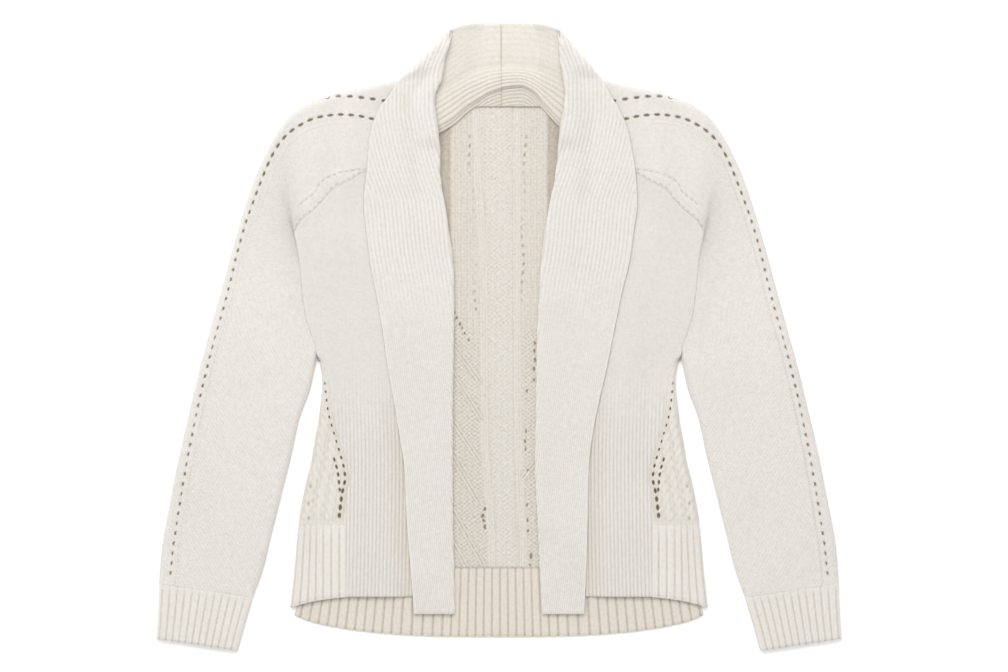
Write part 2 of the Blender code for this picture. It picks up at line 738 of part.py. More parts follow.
def make_side(side, word):
    """The cabled side panel with its openwork, rolled round the side down to the surface."""
    y_rows = np.array([*SIDE_ROWS, SIDE_TOP_Y - 0.5])
    outer_rows = []
    inner_rows = []
    for y in y_rows:
        inner_x = float(read(BODY, "front", y)) + SEAM / 2
        outer_x = float(read(BODY, "side", y))
        lines = np.array([0, SEAM_DIP, 8, 11, 14.5, 18, 21.5, 25, 28.5, 32, 35.5, 39.5])
        span = outer_x - FOLD_REACH - inner_x
        fine = inner_x + np.minimum(lines, span)
        upper, under = side_section(y, side, inner_x, outer_x, fine)
        lift = np.zeros(len(upper))
        inset = outer_x - upper[:, 0]
        for k in range(SIDE_CABLES):
            middle = SIDE_CABLE_FIRST + k * SIDE_CABLE_PITCH
            near = np.exp(-(((inset - middle) / 3.5) ** 2))
            twist = 0.75 + 0.25 * np.cos(2 * np.pi * y / SIDE_CABLE_TWIST)
            lift = lift + CABLE_RISE * near * twist
        lift = lift * ease(SIDE_CABLE_TOP_Y + 30, SIDE_CABLE_TOP_Y, y) * ease(-209.5, -202, y)
        lift = lift * ease(3, 8, upper[:, 0] - inner_x) * ease(2, FOLD_REACH, inset)
        upper[:, 2] += lift
        outer_rows.append(upper)
        inner_rows.append(under)
    shares = (row_shares(outer_rows[0]), row_shares(inner_rows[0]))
    outer = np.array(outer_rows)
    panel = cloth_object("side_panel_" + word, outer, np.array(inner_rows), shares, side)
    places = hole_places(SIDE_HOLES, SIDE_HOLE_PITCH)
    places += hole_places(SIDE_HOLES_SHORT, SIDE_HOLE_PITCH)
    cut_holes(
        panel, hole_cutter("side_holes_" + word, places, SIDE_HOLE_LONG, SIDE_HOLE_WIDE, side)
    )


def hem_bottom(x):
    """Height of the back hem's lower edge, which the fronts leave in view."""
    share = np.clip(np.abs(x) / 234.0, 0, 1)
    return HEM_MIDDLE_Y + 15.0 * share**3.2 + 18.6 * share**14


def make_hem():
    """The rib hem band: across the back, round both sides and over to the fronts."""
    wrap_in = float(read(BODY, "front", FRONT_HEM_Y)) + SEAM / 2
    across = np.arange(-222, 222.1, HEM_RIB / 2)
    shares = np.array([0.0, 0.5, 1.0])
    outer_rows = []
    inner_rows = []
    for share in shares:
        outer_row = []
        inner_row = []
        for side in (-1, 1):
            outer_side, inner_side = hem_wrap(side, share, wrap_in)
            order = slice(None) if side == -1 else slice(None, None, -1)
            outer_row.append(outer_side[order])
            inner_row.append(inner_side[order])
        x = across
        y = hem_bottom(x) + share * (HEM_TOP_Y - hem_bottom(x))
        lift = np.where(np.arange(len(x)) % 2 == 0, 0.0, -RIB_RISE)
        back_top = np.stack([x, y, WALL + lift], -1)
        flat_x = np.linspace(-FLOOR_HALF, FLOOR_HALF, FLOOR_COLUMNS)
        flat_y = hem_bottom(flat_x) + share * (HEM_TOP_Y - hem_bottom(flat_x))
        floor = np.stack([flat_x, flat_y, np.zeros(FLOOR_COLUMNS)], -1)
        outer_rows.append(np.concatenate([outer_row[0], floor, outer_row[1]]))
        inner_rows.append(np.concatenate([inner_row[0], back_top, inner_row[1]]))
    wrap_outer = row_shares(np.abs(outer_row[0]))
    wrap_inner = row_shares(np.abs(inner_row[0]))
    outer_share = np.concatenate([wrap_outer, 1 + row_shares(floor), 3 - wrap_outer[::-1]])
    inner_share = np.concatenate([wrap_inner, 1 + row_shares(back_top), 3 - wrap_inner[::-1]])
    band_shares = (outer_share, inner_share)
    cloth_object("hem_band", np.array(outer_rows), np.array(inner_rows), band_shares)


def hem_front_low(x):
    """Lower edge of the side wraps, which curves up from the side corner to the front's hem."""
    share = np.clip((x - 171.0) / 63.0, 0, 1)
    return FRONT_HEM_Y - 11.5 * share**1.7


def hem_wrap(side, share, wrap_in):
    """The band's upper flap and fold on one side, from the flap's free edge round to the floor."""
    fold = 234.0
    lines = wrap_in + np.arange(0, 56.1, HEM_RIB / 2)
    x = np.concatenate([lines, fold - edge_steps(5)[::-1][1:]])
    low = hem_front_low(x)
    y = low + share * (WRAP_TOP_Y - SEAM - low)
    edge = read(BODY, "side", y)
    x = np.where(x > 200, x + (edge - fold) * (x - 200) / 34.0, x)
    top = front_middle(x, y, side) + WALL / 2
    z = rounded(edge - x, 0, top)
    lift = np.where(np.arange(len(x)) % 2 == 1, RIB_RISE, -0.1)
    lift = np.where(edge - x < FOLD_REACH + 0.5, 0, lift)
    upper = np.stack([side * x, y, z + lift], -1)
    flat = np.concatenate([np.array([wrap_in, 200.0, 222.0]), fold - np.array([5.4, 4.2, 2.9, WALL])])
    low = hem_front_low(flat)
    y = low + share * (WRAP_TOP_Y - SEAM - low)
    edge = read(BODY, "side", y)
    flat = np.where(flat > 200, flat + (edge - fold) * (flat - 200) / 34.0, flat)
    height = front_middle(flat, y, side) - WALL / 2
    z = WALL + 0.1 + (height - WALL - 0.1) * np.sqrt(
        1 - (1 - np.clip((edge - WALL - flat) / 3.1, 0, 1)) ** 2
    )
    under = np.stack([side * flat, y, z], -1)
    return upper, under


def lapel_path(y, side):
    """The lapel's section at one height: distances from the roll and heights of its middle line."""
    roll = read(LAPEL, "roll", y) + side * read(LAPEL, "roll_shift", y)
    outer = lapel_outer(y, side)
    under = read(LAPEL, "under", y)
    base = read(LAPEL, "base", y) + WALL / 2
    edge = read(LAPEL, "edge", y)
    return roll, outer, under, base, edge


def lapel_surface(side):
    """Middle of the lapel: u 0 to 1 is the under layer, 1 to 2 the roll, 2 to 3 the top layer."""

    def surface(u, v):
        roll, outer, under, base, edge = lapel_path(v, side)
        curl = ease(289.5, 291.5, v)
        radius = LAYER / 2
        centre = roll + radius + WALL / 2
        puff = 2.0 * ease(-250, -50, v)
        top = base + LAYER + puff
        x_under = centre + (under - radius - WALL / 2) * (1 - u)
        angle = np.clip(u - 1, 0, 1) * np.pi
        half = (top - base) / 2
        x_roll = centre - np.sin(angle) * radius
        z_roll = base + half * (1 - np.cos(angle))
        share = np.clip(u - 2, -0.01, 1.01)
        end = outer - WALL / 2 * curl
        x_top = centre + (end - centre) * share
        z_far = np.where(curl > 0, base + LAYER, edge + WALL / 2)
        z_top = top + (z_far - top) * ease(0.05, 0.45, share)
        inset = end - x_top
        turn = np.clip(inset / (FOLD_REACH + 3), 0, 1)
        z_curl = z_top * np.sqrt(1 - (1 - turn) ** 2)
        z_top = z_top + (z_curl - z_top) * curl
        x = np.where(u <= 1, x_under, np.where(u <= 2, x_roll, x_top))
        z = np.where(u <= 1, base, np.where(u <= 2, z_roll, z_top))
        return np.stack([x, v, z], -1)

    return surface


def make_lapel(side, word):
    """One half of the shawl collar in front: under layer, roll and ribbed top layer."""
    rows = np.array(
        [-310, -250, -190, -130, -80, -30, 10, 50, 84, 119, 149, 187, 208, 215, 227]
        + [243, 258, 272, 286, 293, 306, 321, 334],
        float,
    )
    surface = lapel_surface(side)
    ribs = np.arange(-2 * RIBS_OUTWARD, 2 * RIBS_INWARD) / 2.0
    outer_rows = []
    inner_rows = []
    for y in rows:
        roll, outer = lapel_path(y, side)[:2]
        centre = roll + LAYER / 2 + WALL / 2
        end = outer - (WALL / 2 if y > 290 else 0)
        kept = ribs if y > RIB_FADE_LOW else np.floor(ribs / 4) * 4
        rib_x = read(RIB_LINE, "x", y) + kept * COLLAR_RIB
        share = np.clip((rib_x - centre) / (end - centre), 0, 0.9)
        fine = np.concatenate([[0, 0.5, 1, 1.33, 1.67], 2 + share, [2.9, 2.94, 2.975, 3.0]])
        strength = ease(RIB_FADE_LOW, RIB_FADE_HIGH, y)
        lift = np.where(np.abs(ribs % 1) < 0.25, RIB_RISE, 0.0) * strength
        lift = np.where((share <= 0.0) | (share >= 0.9), 0, lift)
        lift = np.concatenate([np.zeros(5), lift, np.zeros(4)])
        coarse = np.array([0, 0.5, 1, 1.33, 1.67, 2, 2.15, 2.45, 2.7, 2.9, 2.94, 2.975, 3.0])
        out_points = surface(fine, np.full_like(fine, y)) + section_normal(surface, fine, y) * (
            WALL / 2 + lift
        )[:, None]
        in_points = surface(coarse, np.full_like(coarse, y)) - section_normal(surface, coarse, y) * WALL / 2
        out_points[:, 2] = np.maximum(out_points[:, 2], 0)
        in_points[:, 2] = np.maximum(in_points[:, 2], 0)
        outer_rows.append(out_points)
        inner_rows.append(in_points)
    shares = (fine / 3, coarse / 3)
    outer = np.array(outer_rows)
    return cloth_object("lapel_" + word, outer, np.array(inner_rows), shares, side)


def section_normal(surface, u, y):
    """Normal within the section at height y, to the outer side of the roll."""
    tiny = 1e-3
    v = np.full_like(u, y)
    ahead = surface(u + tiny, v)
    behind = surface(u - tiny, v)
    along = ahead - behind
    normal = np.stack([-along[:, 2], np.zeros(len(u)), along[:, 0]], -1)
    return normal / np.linalg.norm(normal, axis=-1, keepdims=True)


def make_collar(side, word):
    """One half of the collar behind the neck: stand, fold over the neck seam, top roll and fall."""
    start_x = side * COLLAR_SEAM_X + SEAM / 2
    lip_name = "lip_right" if side == 1 else "lip_left"
    crease_name = "crease_right" if side == 1 else "crease_left"
    stations = np.linspace(0, 1, 6)
    outer_rows = []
    inner_rows = []
    for station in stations:
        path, is_rib = collar_section(station, side, start_x, lip_name, crease_name)
        outer_rows.append(offset_path(path, WALL / 2, is_rib))
        inner_rows.append(offset_path(path, -WALL / 2, np.zeros(len(path)))[coarse_columns()])
    columns = np.arange(len(path)) / (len(path) - 1)
    shares = (columns, columns[coarse_columns()])
    cloth_object("collar_" + word, np.array(outer_rows), np.array(inner_rows), shares, side)


def coarse_columns():
    """Columns of the collar's section that its plain inside keeps."""
    bump = 3 + 2 * BUMP_RIBS
    stand = bump + 2 * STAND_RIBS
    keep = list(range(0, bump + 1)) + list(range(bump + 4, stand - 1, 4)) + [stand]
    keep += list(range(stand + 1, stand + TOP_STEPS + 1))
    return keep


def collar_section(station, side, start_x, lip_name, crease_name):
    """Middle line of the collar at one station from the centre back to the neck crease."""
    neck_x = start_x + (76.0 - start_x) * station
    lip = float(read(ARCH, lip_name, neck_x))
    crease = float(read(ARCH, crease_name, neck_x))
    rise = float(read(ARCH, "rise", neck_x))
    seam_y = min(NECK_SEAM_Y, lip - 4.0)
    low = FRONT_MIDDLE
    stand = STAND_MIDDLE - 0.8 * station
    top_y = COLLAR_TOP_Y - 2.6 - 4.0 * station**3
    path_y = [seam_y, (seam_y + lip) / 2 - 0.5, lip - 0.5]
    path_z = [low, low, low + 0.3]
    rib = [0.0, 0.0, 0.0]
    bump = np.linspace(0, 1, 2 * BUMP_RIBS + 1)
    span = crease - lip
    for k, share in enumerate(bump[:-1]):
        path_y.append(lip + 1.2 + (span - 1.2) * share)
        hump = np.sin(np.pi * min(1.0, 0.22 + 0.78 * share)) ** 0.8
        path_z.append(low + (stand - low) * share + (rise + 0.6) * hump)
        rib.append(RIB_RISE if k % 2 == 1 else 0.0)
    stand_share = np.linspace(0, 1, 2 * STAND_RIBS + 1)
    radius = stand / 2 - WALL / 4
    for k, share in enumerate(stand_share[:-1]):
        path_y.append(crease + (top_y - radius - crease) * share)
        path_z.append(stand)
        rib.append(RIB_RISE if k % 2 == 1 else 0.0)
    turn = np.linspace(0, np.pi, TOP_STEPS)
    half = (stand - BACK_MIDDLE) / 2
    for angle in turn:
        path_y.append(top_y - radius + half * np.sin(angle))
        path_z.append(BACK_MIDDLE + half * (1 + np.cos(angle)))
        rib.append(0.0)
    path_y.append(top_y - radius - FALL_LENGTH)
    path_z.append(BACK_MIDDLE)
    rib.append(0.0)
    y = np.array(path_y)
    z = np.array(path_z)
    roll = read(LAPEL, "roll", y) + side * read(LAPEL, "roll_shift", y)
    limit = read(LAPEL, "outer", y) + side * read(LAPEL, "outer_shift", y) - 5.0
    reach = np.minimum(roll + 5.0, np.where(y > 289, limit, 200))
    x = start_x + (reach - start_x) * station
    return np.stack([x, y, z], -1), np.array(rib)


def offset_path(path, offset, lift):
    """The path moved along its normal in the plane across the collar."""
    along = np.gradient(path[:, 1:], axis=0)
    normal = np.stack([-along[:, 1], along[:, 0]], -1)
    normal /= np.linalg.norm(normal, axis=-1, keepdims=True)
    moved = path.copy()
    moved[:, 1:] += normal * (offset + lift)[:, None]
    return moved


def clear_scene():
    for thing in list(bpy.data.objects):
        bpy.data.objects.remove(thing, do_unlink=True)


def main():
    clear_scene()
    make_back()
    make_hem()
    for side, word in ((-1, "left"), (1, "right")):
        make_sleeve(side, word)
        make_cuff(side, word)
        make_side(side, word)
        make_front(side, word)
        make_lapel(side, word)
        make_collar(side, word)


main()
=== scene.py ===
"""Looks of the knitted cardigan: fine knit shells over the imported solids, floor, light and camera."""

import bmesh
import bpy
import numpy as np
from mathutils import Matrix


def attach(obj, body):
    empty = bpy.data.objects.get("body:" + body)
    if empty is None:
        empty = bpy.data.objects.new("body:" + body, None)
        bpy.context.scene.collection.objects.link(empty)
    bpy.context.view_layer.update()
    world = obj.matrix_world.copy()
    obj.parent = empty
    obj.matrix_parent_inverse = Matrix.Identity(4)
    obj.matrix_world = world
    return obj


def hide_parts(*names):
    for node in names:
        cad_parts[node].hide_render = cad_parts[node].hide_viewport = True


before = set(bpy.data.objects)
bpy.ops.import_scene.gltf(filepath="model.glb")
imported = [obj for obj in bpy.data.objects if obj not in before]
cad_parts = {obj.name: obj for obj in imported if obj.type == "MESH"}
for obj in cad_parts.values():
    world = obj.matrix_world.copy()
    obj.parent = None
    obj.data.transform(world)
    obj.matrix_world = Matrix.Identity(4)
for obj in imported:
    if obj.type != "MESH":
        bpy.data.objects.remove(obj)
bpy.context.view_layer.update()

MM = 0.001
WALL = 2.3
SEAM = 0.3
LAYER = WALL + SEAM
FOLD_REACH = 5.5
FOLD_CLEAR = 3.9
BACK_MIDDLE = WALL / 2
FRONT_MIDDLE = LAYER + WALL / 2
LOFT = 2.9
LOFT_REACH = 30.0
COLLAR_RIB = 4.6
FRONT_RIB = 4.2
HEM_RIB = 9.2
CUFF_RIBS = 12.5
HEM_MIDDLE_Y = -336.0
HEM_TOP_Y = -259.0
FRONT_HEM_Y = -291.0
WRAP_TOP_Y = -210.0
SIDE_TOP_Y = -27.0
NECK_Y = 262.0
NECK_HALF = 52.0
NECK_SEAM_Y = 258.0
COLLAR_SEAM_X = 2.5
COLLAR_TOP_Y = 352.4
FALL_LENGTH = 45.0
STAND_MIDDLE = 6.4
UNDERARM = 14
CUFF = 21
SLEEVE_TURN = 0.2
CUFF_TURN = 0.045
EDGE_STEP = 0.05
SHOULDER_CLEAR = 2.2
UNDER_SEAM = 1.5
UV_SCALE = 0.01

# The photograph's scale in millimetres for each pixel, and the pixel where the frame's origin is
PIXEL = 1.12
MIDDLE_PX = 499
MIDDLE_PY = 337

# Openwork: distances between holes, and how far the sleeve's row is spread out near the shoulder
SLEEVE_HOLE_PITCH = 11.2
SLEEVE_HOLE_SPREAD = 0.045
SLEEVE_HOLE_SPREAD_END = 170
SHOULDER_HOLE_PITCH = 12.8
SLEEVE_HOLE_DEPTH = 1.9
SIDE_HOLE_PITCH = 9.6
SIDE_HOLE_DEPTH = 1.7
YOKE_DASH_PITCH = 7.2
EYELET_PITCH = 10.2

# Ropes of the side panels, counted in from the fold
ROPES = 4
ROPE_FIRST = 8.5
ROPE_STEP = 12.5
ROPE_WIDTH = 9.5
ROPE_PITCH = 21

# Yarn, light, camera and floor
STITCH_SLANT = 0.9
SHARP_DEGREES = 62
# Colours the cream yarn takes in painted shade, from the deepest to lighter; full tone gives the yarn's own
# colour
PAINTED_SHADE_COLOURS = ((0.0, (0.05, 0.035, 0.022)), (0.5, (0.38, 0.31, 0.23)), (0.78, (0.69, 0.63, 0.54)))
SKY_STRENGTH = 0.72
SOFT_BOX_SIZE = (2.6, 1.8)
SOFT_BOX_WATTS = 52
SOFT_BOX_PLACE = (-0.5, 1.7, 2.6)
SOFT_BOX_TURN = (-0.58, -0.16, 0)
CAMERA_LENS = 120
CAMERA_SENSOR = 36
CAMERA_PLACE = (0.0056, 0.0011, 3.763)
FLOOR_HALF = 3.0


def table(columns, *rows):
    """A table with named columns, one array for each."""
    return dict(zip(columns.split(), np.array(rows, float).T))


# Half width of the body's side fold, and of the seam between the front and side panels
BODY = table(
    "y side front",
    (-303, 234.0, 171.5),
    (-272, 230.2, 171.5),
    (-227, 226.2, 172.0),
    (-205, 224.0, 173.0),
    (-176, 219.0, 170.5),
    (-158, 215.0, 167.0),
    (-138, 210.0, 170.5),
    (-118, 206.8, 177.5),
    (-93, 202.2, 184.0),
    (-48, 198.0, 190.5),
    (-27, 201.0, 193.5),
)

# The sleeve's stations from the neck to the cuff: its inner edge, which is the yoke and armhole
# seam down to the underarm, and its outer fold
SLEEVE = table(
    "station in_x in_y out_x out_y",
    (0, 83.0, 215.0, 90.0, 284.0),
    (1, 120.0, 199.0, 115.0, 286.5),
    (2, 149.0, 186.0, 138.0, 282.2),
    (3, 167.0, 176.0, 158.0, 278.0),
    (4, 184.0, 167.0, 178.0, 273.5),
    (5, 198.0, 152.0, 197.0, 267.5),
    (6, 209.0, 141.0, 214.5, 260.5),
    (7, 221.0, 131.0, 230.5, 250.5),
    (8, 229.0, 116.0, 248.0, 229.0),
    (9, 226.5, 104.0, 264.5, 198.0),
    (10, 223.0, 80.0, 281.0, 156.0),
    (11, 220.5, 52.0, 293.5, 115.0),
    (12, 217.0, 26.0, 304.0, 78.0),
    (13, 210.5, 4.0, 313.5, 43.0),
    (14, 204.0, -18.0, 322.5, 10.0),
    (15, 210.0, -54.0, 333.7, -30.0),
    (16, 223.4, -93.0, 342.8, -67.0),
    (17, 232.0, -132.0, 351.8, -106.0),
    (18, 243.5, -178.0, 361.9, -153.0),
    (19, 255.0, -224.0, 371.0, -200.0),
    (20, 263.0, -257.0, 377.2, -236.0),
    (21, 275.0, -291.0, 380.4, -276.0),
)
CUFF_END = table(
    "end in_x in_y out_x out_y",
    (0, 275.05, -290.5, 380.3, -275.6),
    (1, 284.5, -322.0, 381.6, -308.0),
    (2, 292.6, -351.5, 383.6, -338.0),
)

# The lapel's outer edge and roll line with their shift to the viewer's right, the width of the
# under layer behind the roll, and the heights of the underside at the roll and at the outer edge
LAPEL = table(
    "y outer outer_shift roll roll_shift under base edge",
    (-310, 95.2, 0.0, 48.7, -0.6, 42.0, 2.6, 5.2),
    (-274, 97.2, -0.3, 48.2, -1.7, 39.0, 2.6, 5.2),
    (-208, 101.0, -2.0, 47.3, -4.1, 32.0, 2.6, 5.2),
    (-148, 103.0, -2.8, 45.9, -5.6, 26.0, 2.6, 5.2),
    (-105, 108.6, -3.4, 46.1, -5.4, 22.0, 2.6, 5.2),
    (-71, 114.8, -2.8, 46.5, -5.0, 20.0, 2.6, 5.2),
    (-34, 122.3, -1.9, 46.5, -4.5, 18.0, 2.6, 5.2),
    (10, 129.9, -0.7, 46.6, -3.7, 17.0, 2.6, 5.2),
    (53, 138.0, 0.0, 48.0, -2.4, 16.0, 2.6, 5.2),
    (84, 144.7, 0.9, 49.4, -2.1, 15.0, 2.6, 5.3),
    (119, 149.3, 1.2, 53.8, -2.2, 14.0, 2.6, 5.4),
    (149, 152.7, 1.6, 59.0, -1.9, 13.0, 2.6, 5.6),
    (187, 149.9, 2.2, 65.0, -1.1, 11.0, 2.6, 5.8),
    (206, 147.5, 1.4, 66.0, 0.0, 9.0, 2.6, 5.8),
    (226, 144.5, 0.6, 67.3, 0.0, 7.0, 8.4, 5.9),
    (256, 133.3, 0.0, 71.7, 0.4, 5.0, 9.2, 6.0),
    (271, 123.2, 1.1, 72.8, 1.7, 4.0, 9.2, 6.0),
    (286, 114.6, 1.7, 68.3, 3.4, 3.5, 8.8, 5.8),
    (293, 108.0, 3.0, 67.0, 3.5, 3.0, 8.4, 6.0),
    (306, 97.6, 4.6, 65.0, 3.7, 3.0, 8.2, 6.0),
    (321, 83.0, 5.6, 62.2, 5.3, 3.0, 8.0, 6.0),
    (334, 70.8, 6.2, 60.2, 6.3, 3.0, 7.8, 6.0),
    (343, 62.0, 6.4, 57.4, 6.4, 3.0, 7.4, 6.0),
    (350, 53.8, 6.4, 50.4, 6.4, 2.6, 6.8, 6.0),
)

# One collar rib, followed down the lapel: above the chest it leans, below it keeps to the outer edge
RIB_LINE = table(
    "y x",
    (334, 89.0),
    (287, 105.0),
    (256, 105.5),
    (226, 101.0),
    (187, 91.0),
    (149, 79.0),
    (100, 74.0),
    (53, 66.0),
    (-310, 23.0),
)

# The fold behind the neck: its lower lip and the crease above it on each side
ARCH = table(
    "x lip_left lip_right crease_left crease_right rise",
    (0, 276.0, 276.5, 303.0, 303.0, 5.0),
    (12, 271.0, 279.0, 302.5, 303.0, 5.0),
    (24, 263.0, 280.0, 300.5, 302.5, 4.8),
    (36, 255.0, 274.0, 297.0, 302.0, 4.4),
    (48, 244.5, 260.0, 291.0, 300.0, 3.6),
    (60, 237.0, 247.5, 283.0, 296.0, 2.6),
    (72, 231.0, 237.0, 275.0, 290.0, 1.4),
)

# Soft folds of the front layer: a straight line each, half width and rise (troughs are negative)
FOLDS = table(
    "x0 y0 x1 y1 width rise",
    (167, 150, 170, -170, 16, -1.1),
    (196, 60, 200, -60, 12, 0.8),
    (262, 90, 290, -150, 22, -0.8),
    (300, 20, 330, -200, 16, 0.6),
)

# The row of holes down the sleeve, the short row above it and the rows of the side panel
SLEEVE_HOLES = table(
    "x y",
    (142, 244.0),
    (160, 247.5),
    (178, 248.5),
    (200, 246.0),
    (222, 237.0),
    (240, 223.0),
    (253, 204.0),
    (262, 184.0),
    (271, 161.0),
    (284, 124.0),
    (294, 88.0),
    (303, 51.0),
    (327, -37.0),
    (348, -135.0),
    (364, -235.0),
    (367, -264.0),
)
SHOULDER_HOLES = table(
    "x y", (192.6, 268.0), (179.2, 269.6), (166.2, 268.9), (152.7, 267.5), (140.3, 265.8), (128.1, 264.0)
)
SIDE_HOLES = table(
    "x y",
    (194.5, -52.0),
    (191.0, -83.0),
    (182.5, -114.0),
    (173.5, -146.0),
    (172.0, -158.0),
    (175.5, -176.0),
    (178.5, -200.0),
)
SIDE_HOLES_SHORT = table("x y", (184.0, -137.0), (180.0, -152.0), (178.0, -171.0))


def smooth(keys, values, at):
    """A curve through the points that never swings past them."""
    order = np.argsort(keys)
    x = np.asarray(keys, float)[order]
    y = np.asarray(values, float)[order]
    step = np.diff(x)
    slope = np.diff(y) / step
    tangent = np.concatenate([slope[:1], np.zeros(len(x) - 2), slope[-1:]])
    for i in range(1, len(x) - 1):
        if slope[i - 1] * slope[i] > 0:
            before = 2 * step[i] + step[i - 1]
            after = step[i] + 2 * step[i - 1]
            tangent[i] = (before + after) / (before / slope[i - 1] + after / slope[i])
    at = np.clip(at, x[0], x[-1])
    i = np.clip(np.searchsorted(x, at, side="right") - 1, 0, len(x) - 2)
    t = (at - x[i]) / step[i]
    return (
        (1 + 2 * t) * (1 - t) ** 2 * y[i]
        + t * (1 - t) ** 2 * step[i] * tangent[i]
        + t**2 * (3 - 2 * t) * y[i + 1]
        + t**2 * (t - 1) * step[i] * tangent[i + 1]
    )


def read(rows, column, at):
    """A column of a table at places between its rows; the first column is the key."""
    return smooth(rows[next(iter(rows))], rows[column], at)


def ease(low, high, at):
    """0 below low, 1 above high, and smooth between."""
    t = np.clip((at - low) / (high - low), 0, 1)
    return t * t * (3 - 2 * t)


def lapel_outer(y, side):
    """Half width of the lapel's outer edge."""
    return read(LAPEL, "outer", y) + side * read(LAPEL, "outer_shift", y)


def lapel_roll(y, side):
    """Half width of the lapel's roll line."""
    return read(LAPEL, "roll", y) + side * read(LAPEL, "roll_shift", y)


def fold_shape(x, y):
    """Rise of the soft folds at a place on the front layer."""
    rise = np.zeros(np.broadcast(x, y).shape)
    for x0, y0, x1, y1, width, height in zip(*FOLDS.values()):
        length = np.hypot(x1 - x0, y1 - y0)
        way_x, way_y = (x1 - x0) / length, (y1 - y0) / length
        run = ((x - x0) * way_x + (y - y0) * way_y) / length
        across = (x - x0) * way_y - (y - y0) * way_x
        rise = rise + height * np.sin(np.pi * np.clip(run, 0, 1)) * bell(across, width)
    return rise


def front_middle(x, y, side):
    """Height of the front layer's middle: flat under the lapel, lofted beyond it."""
    lofted = ease(0, LOFT_REACH, x - lapel_outer(y, side))
    return FRONT_MIDDLE + lofted * (LOFT + fold_shape(x, y))


def rounded(distance, low, high):
    """Height near an edge that rolls down from high to low, at a distance in from the edge."""
    t = np.clip(distance / FOLD_REACH, 0, 1)
    return low + (high - low) * np.sqrt(1 - (1 - t) ** 2)


def turned(reach):
    """Distances in from a rolled edge, close together where the cloth turns down."""
    return reach * (1 - np.cos(np.linspace(0, np.pi / 2, 9)))


def normals(surface, u, v):
    """Unit normals of a surface at grids of its two shares."""
    tiny = 1e-4
    along_u = surface(u + tiny, v) - surface(u - tiny, v)
    along_v = surface(u, v + tiny) - surface(u, v - tiny)
    across = np.cross(along_u, along_v)
    return across / np.linalg.norm(across, axis=-1, keepdims=True)


def sleeve_edges(station, rows=SLEEVE):
    """The inner and outer edge of the sleeve, or of the cuff, at a station."""
    columns = (("in_x", "in_y"), ("out_x", "out_y"))
    return [np.stack([read(rows, x, station), read(rows, y, station)], -1) for x, y in columns]


def seam_slant(station, across):
    """Cosine between a station's own direction and the square crossing of the seam."""
    return np.maximum(0.4, (seam_offset(station) * across).sum(-1))


def seam_offset(station):
    """Outward direction across the yoke and armhole seam, as a unit vector."""
    step = 0.02
    ahead = sleeve_edges(station + step)[0]
    behind = sleeve_edges(station - step)[0]
    along = ahead - behind
    length = np.linalg.norm(along, axis=-1, keepdims=True)
    return np.stack([-along[..., 1], along[..., 0]], -1) / length


def sleeve_front_surface(side):
    """Middle of the upper wall: u from the seam or inner fold to the outer fold, v is the station."""

    def surface(u, v):
        inner, outer = sleeve_edges(v)
        across = outer - inner
        width = np.linalg.norm(across, axis=-1)
        across = across / width[..., None]
        turn = SLEEVE_TURN
        start = (WALL / 2 + SEAM) / seam_slant(v, across)
        reach = FOLD_REACH
        angle_in = np.clip(u / turn, -0.01, 1) * np.pi / 2
        angle_out = np.clip((1 - u) / turn, -0.01, 1) * np.pi / 2
        low_part = start + reach * (1 - np.cos(angle_in))
        high_part = width - WALL / 2 - reach * (1 - np.cos(angle_out))
        middle_part = start + reach + (u - turn) / (1 - 2 * turn) * (
            width - WALL / 2 - start - 2 * reach
        )
        distance = np.where(u < turn, low_part, np.where(u > 1 - turn, high_part, middle_part))
        place = inner + across * distance[..., None]
        middle = front_middle(place[..., 0], place[..., 1], side)
        inner_low = LAYER * (1 - ease(UNDERARM, UNDERARM + 0.8, v))
        height = np.where(u < turn, inner_low + (middle - inner_low) * np.sin(angle_in), middle)
        height = np.where(u > 1 - turn, middle * np.sin(angle_out), height)
        return np.concatenate([place, height[..., None]], -1)

    return surface


def sleeve_back_surface(u, v):
    """Middle of the lower wall, flat on the surface between the folds of the upper wall."""
    inner, outer = sleeve_edges(v)
    across = outer - inner
    width = np.linalg.norm(across, axis=-1)
    across = across / width[..., None]
    free_fold = ease(UNDERARM - 1, UNDERARM, v)
    start = (SEAM / 2 + (FOLD_CLEAR - SEAM / 2) * free_fold) / seam_slant(v, across)
    before = sleeve_edges(v - EDGE_STEP)[1]
    after = sleeve_edges(v + EDGE_STEP)[1]
    along = (after - before) / np.linalg.norm(after - before, axis=-1)[..., None]
    outer_slant = np.abs(along[..., 0] * across[..., 1] - along[..., 1] * across[..., 0])
    stop = (FOLD_CLEAR + SHOULDER_CLEAR * ease(5, 3, v)) / np.maximum(outer_slant, 0.4)
    distance = start + u * (width - stop - start)
    place = inner + across * distance[..., None]
    return np.concatenate([place, np.full_like(place[..., :1], BACK_MIDDLE)], -1)


def side_seam(y):
    """Half width of the seam between the front and side panels, which meets the fold at the underarm."""
    fold = read(BODY, "side", y) - 3.4
    low = read(BODY, "front", y)
    return low + (fold - low) * ease(SIDE_TOP_Y - 18, SIDE_TOP_Y, y)


def front_edge(y):
    """Half width of the front panel's outer edge, at the side panel or at the armhole."""
    seam = armhole_x(0.05)
    below = side_seam(y) - SEAM / 4
    above = np.interp(y, seam[:, 1], seam[:, 0])
    bridge_low = read(BODY, "side", SIDE_TOP_Y) - SEAM
    share = np.clip((y - SIDE_TOP_Y) / (seam[0, 1] - SIDE_TOP_Y), 0, 1)
    bridge = bridge_low + (seam[0, 0] - bridge_low) * share
    return np.where(y <= SIDE_TOP_Y, below, np.where(y >= seam[0, 1], above, bridge))


def under_edge(y, side):
    """Half width of the seam between the front panel and the lapel's under layer."""
    return lapel_roll(y, side) + read(LAPEL, "under", y)


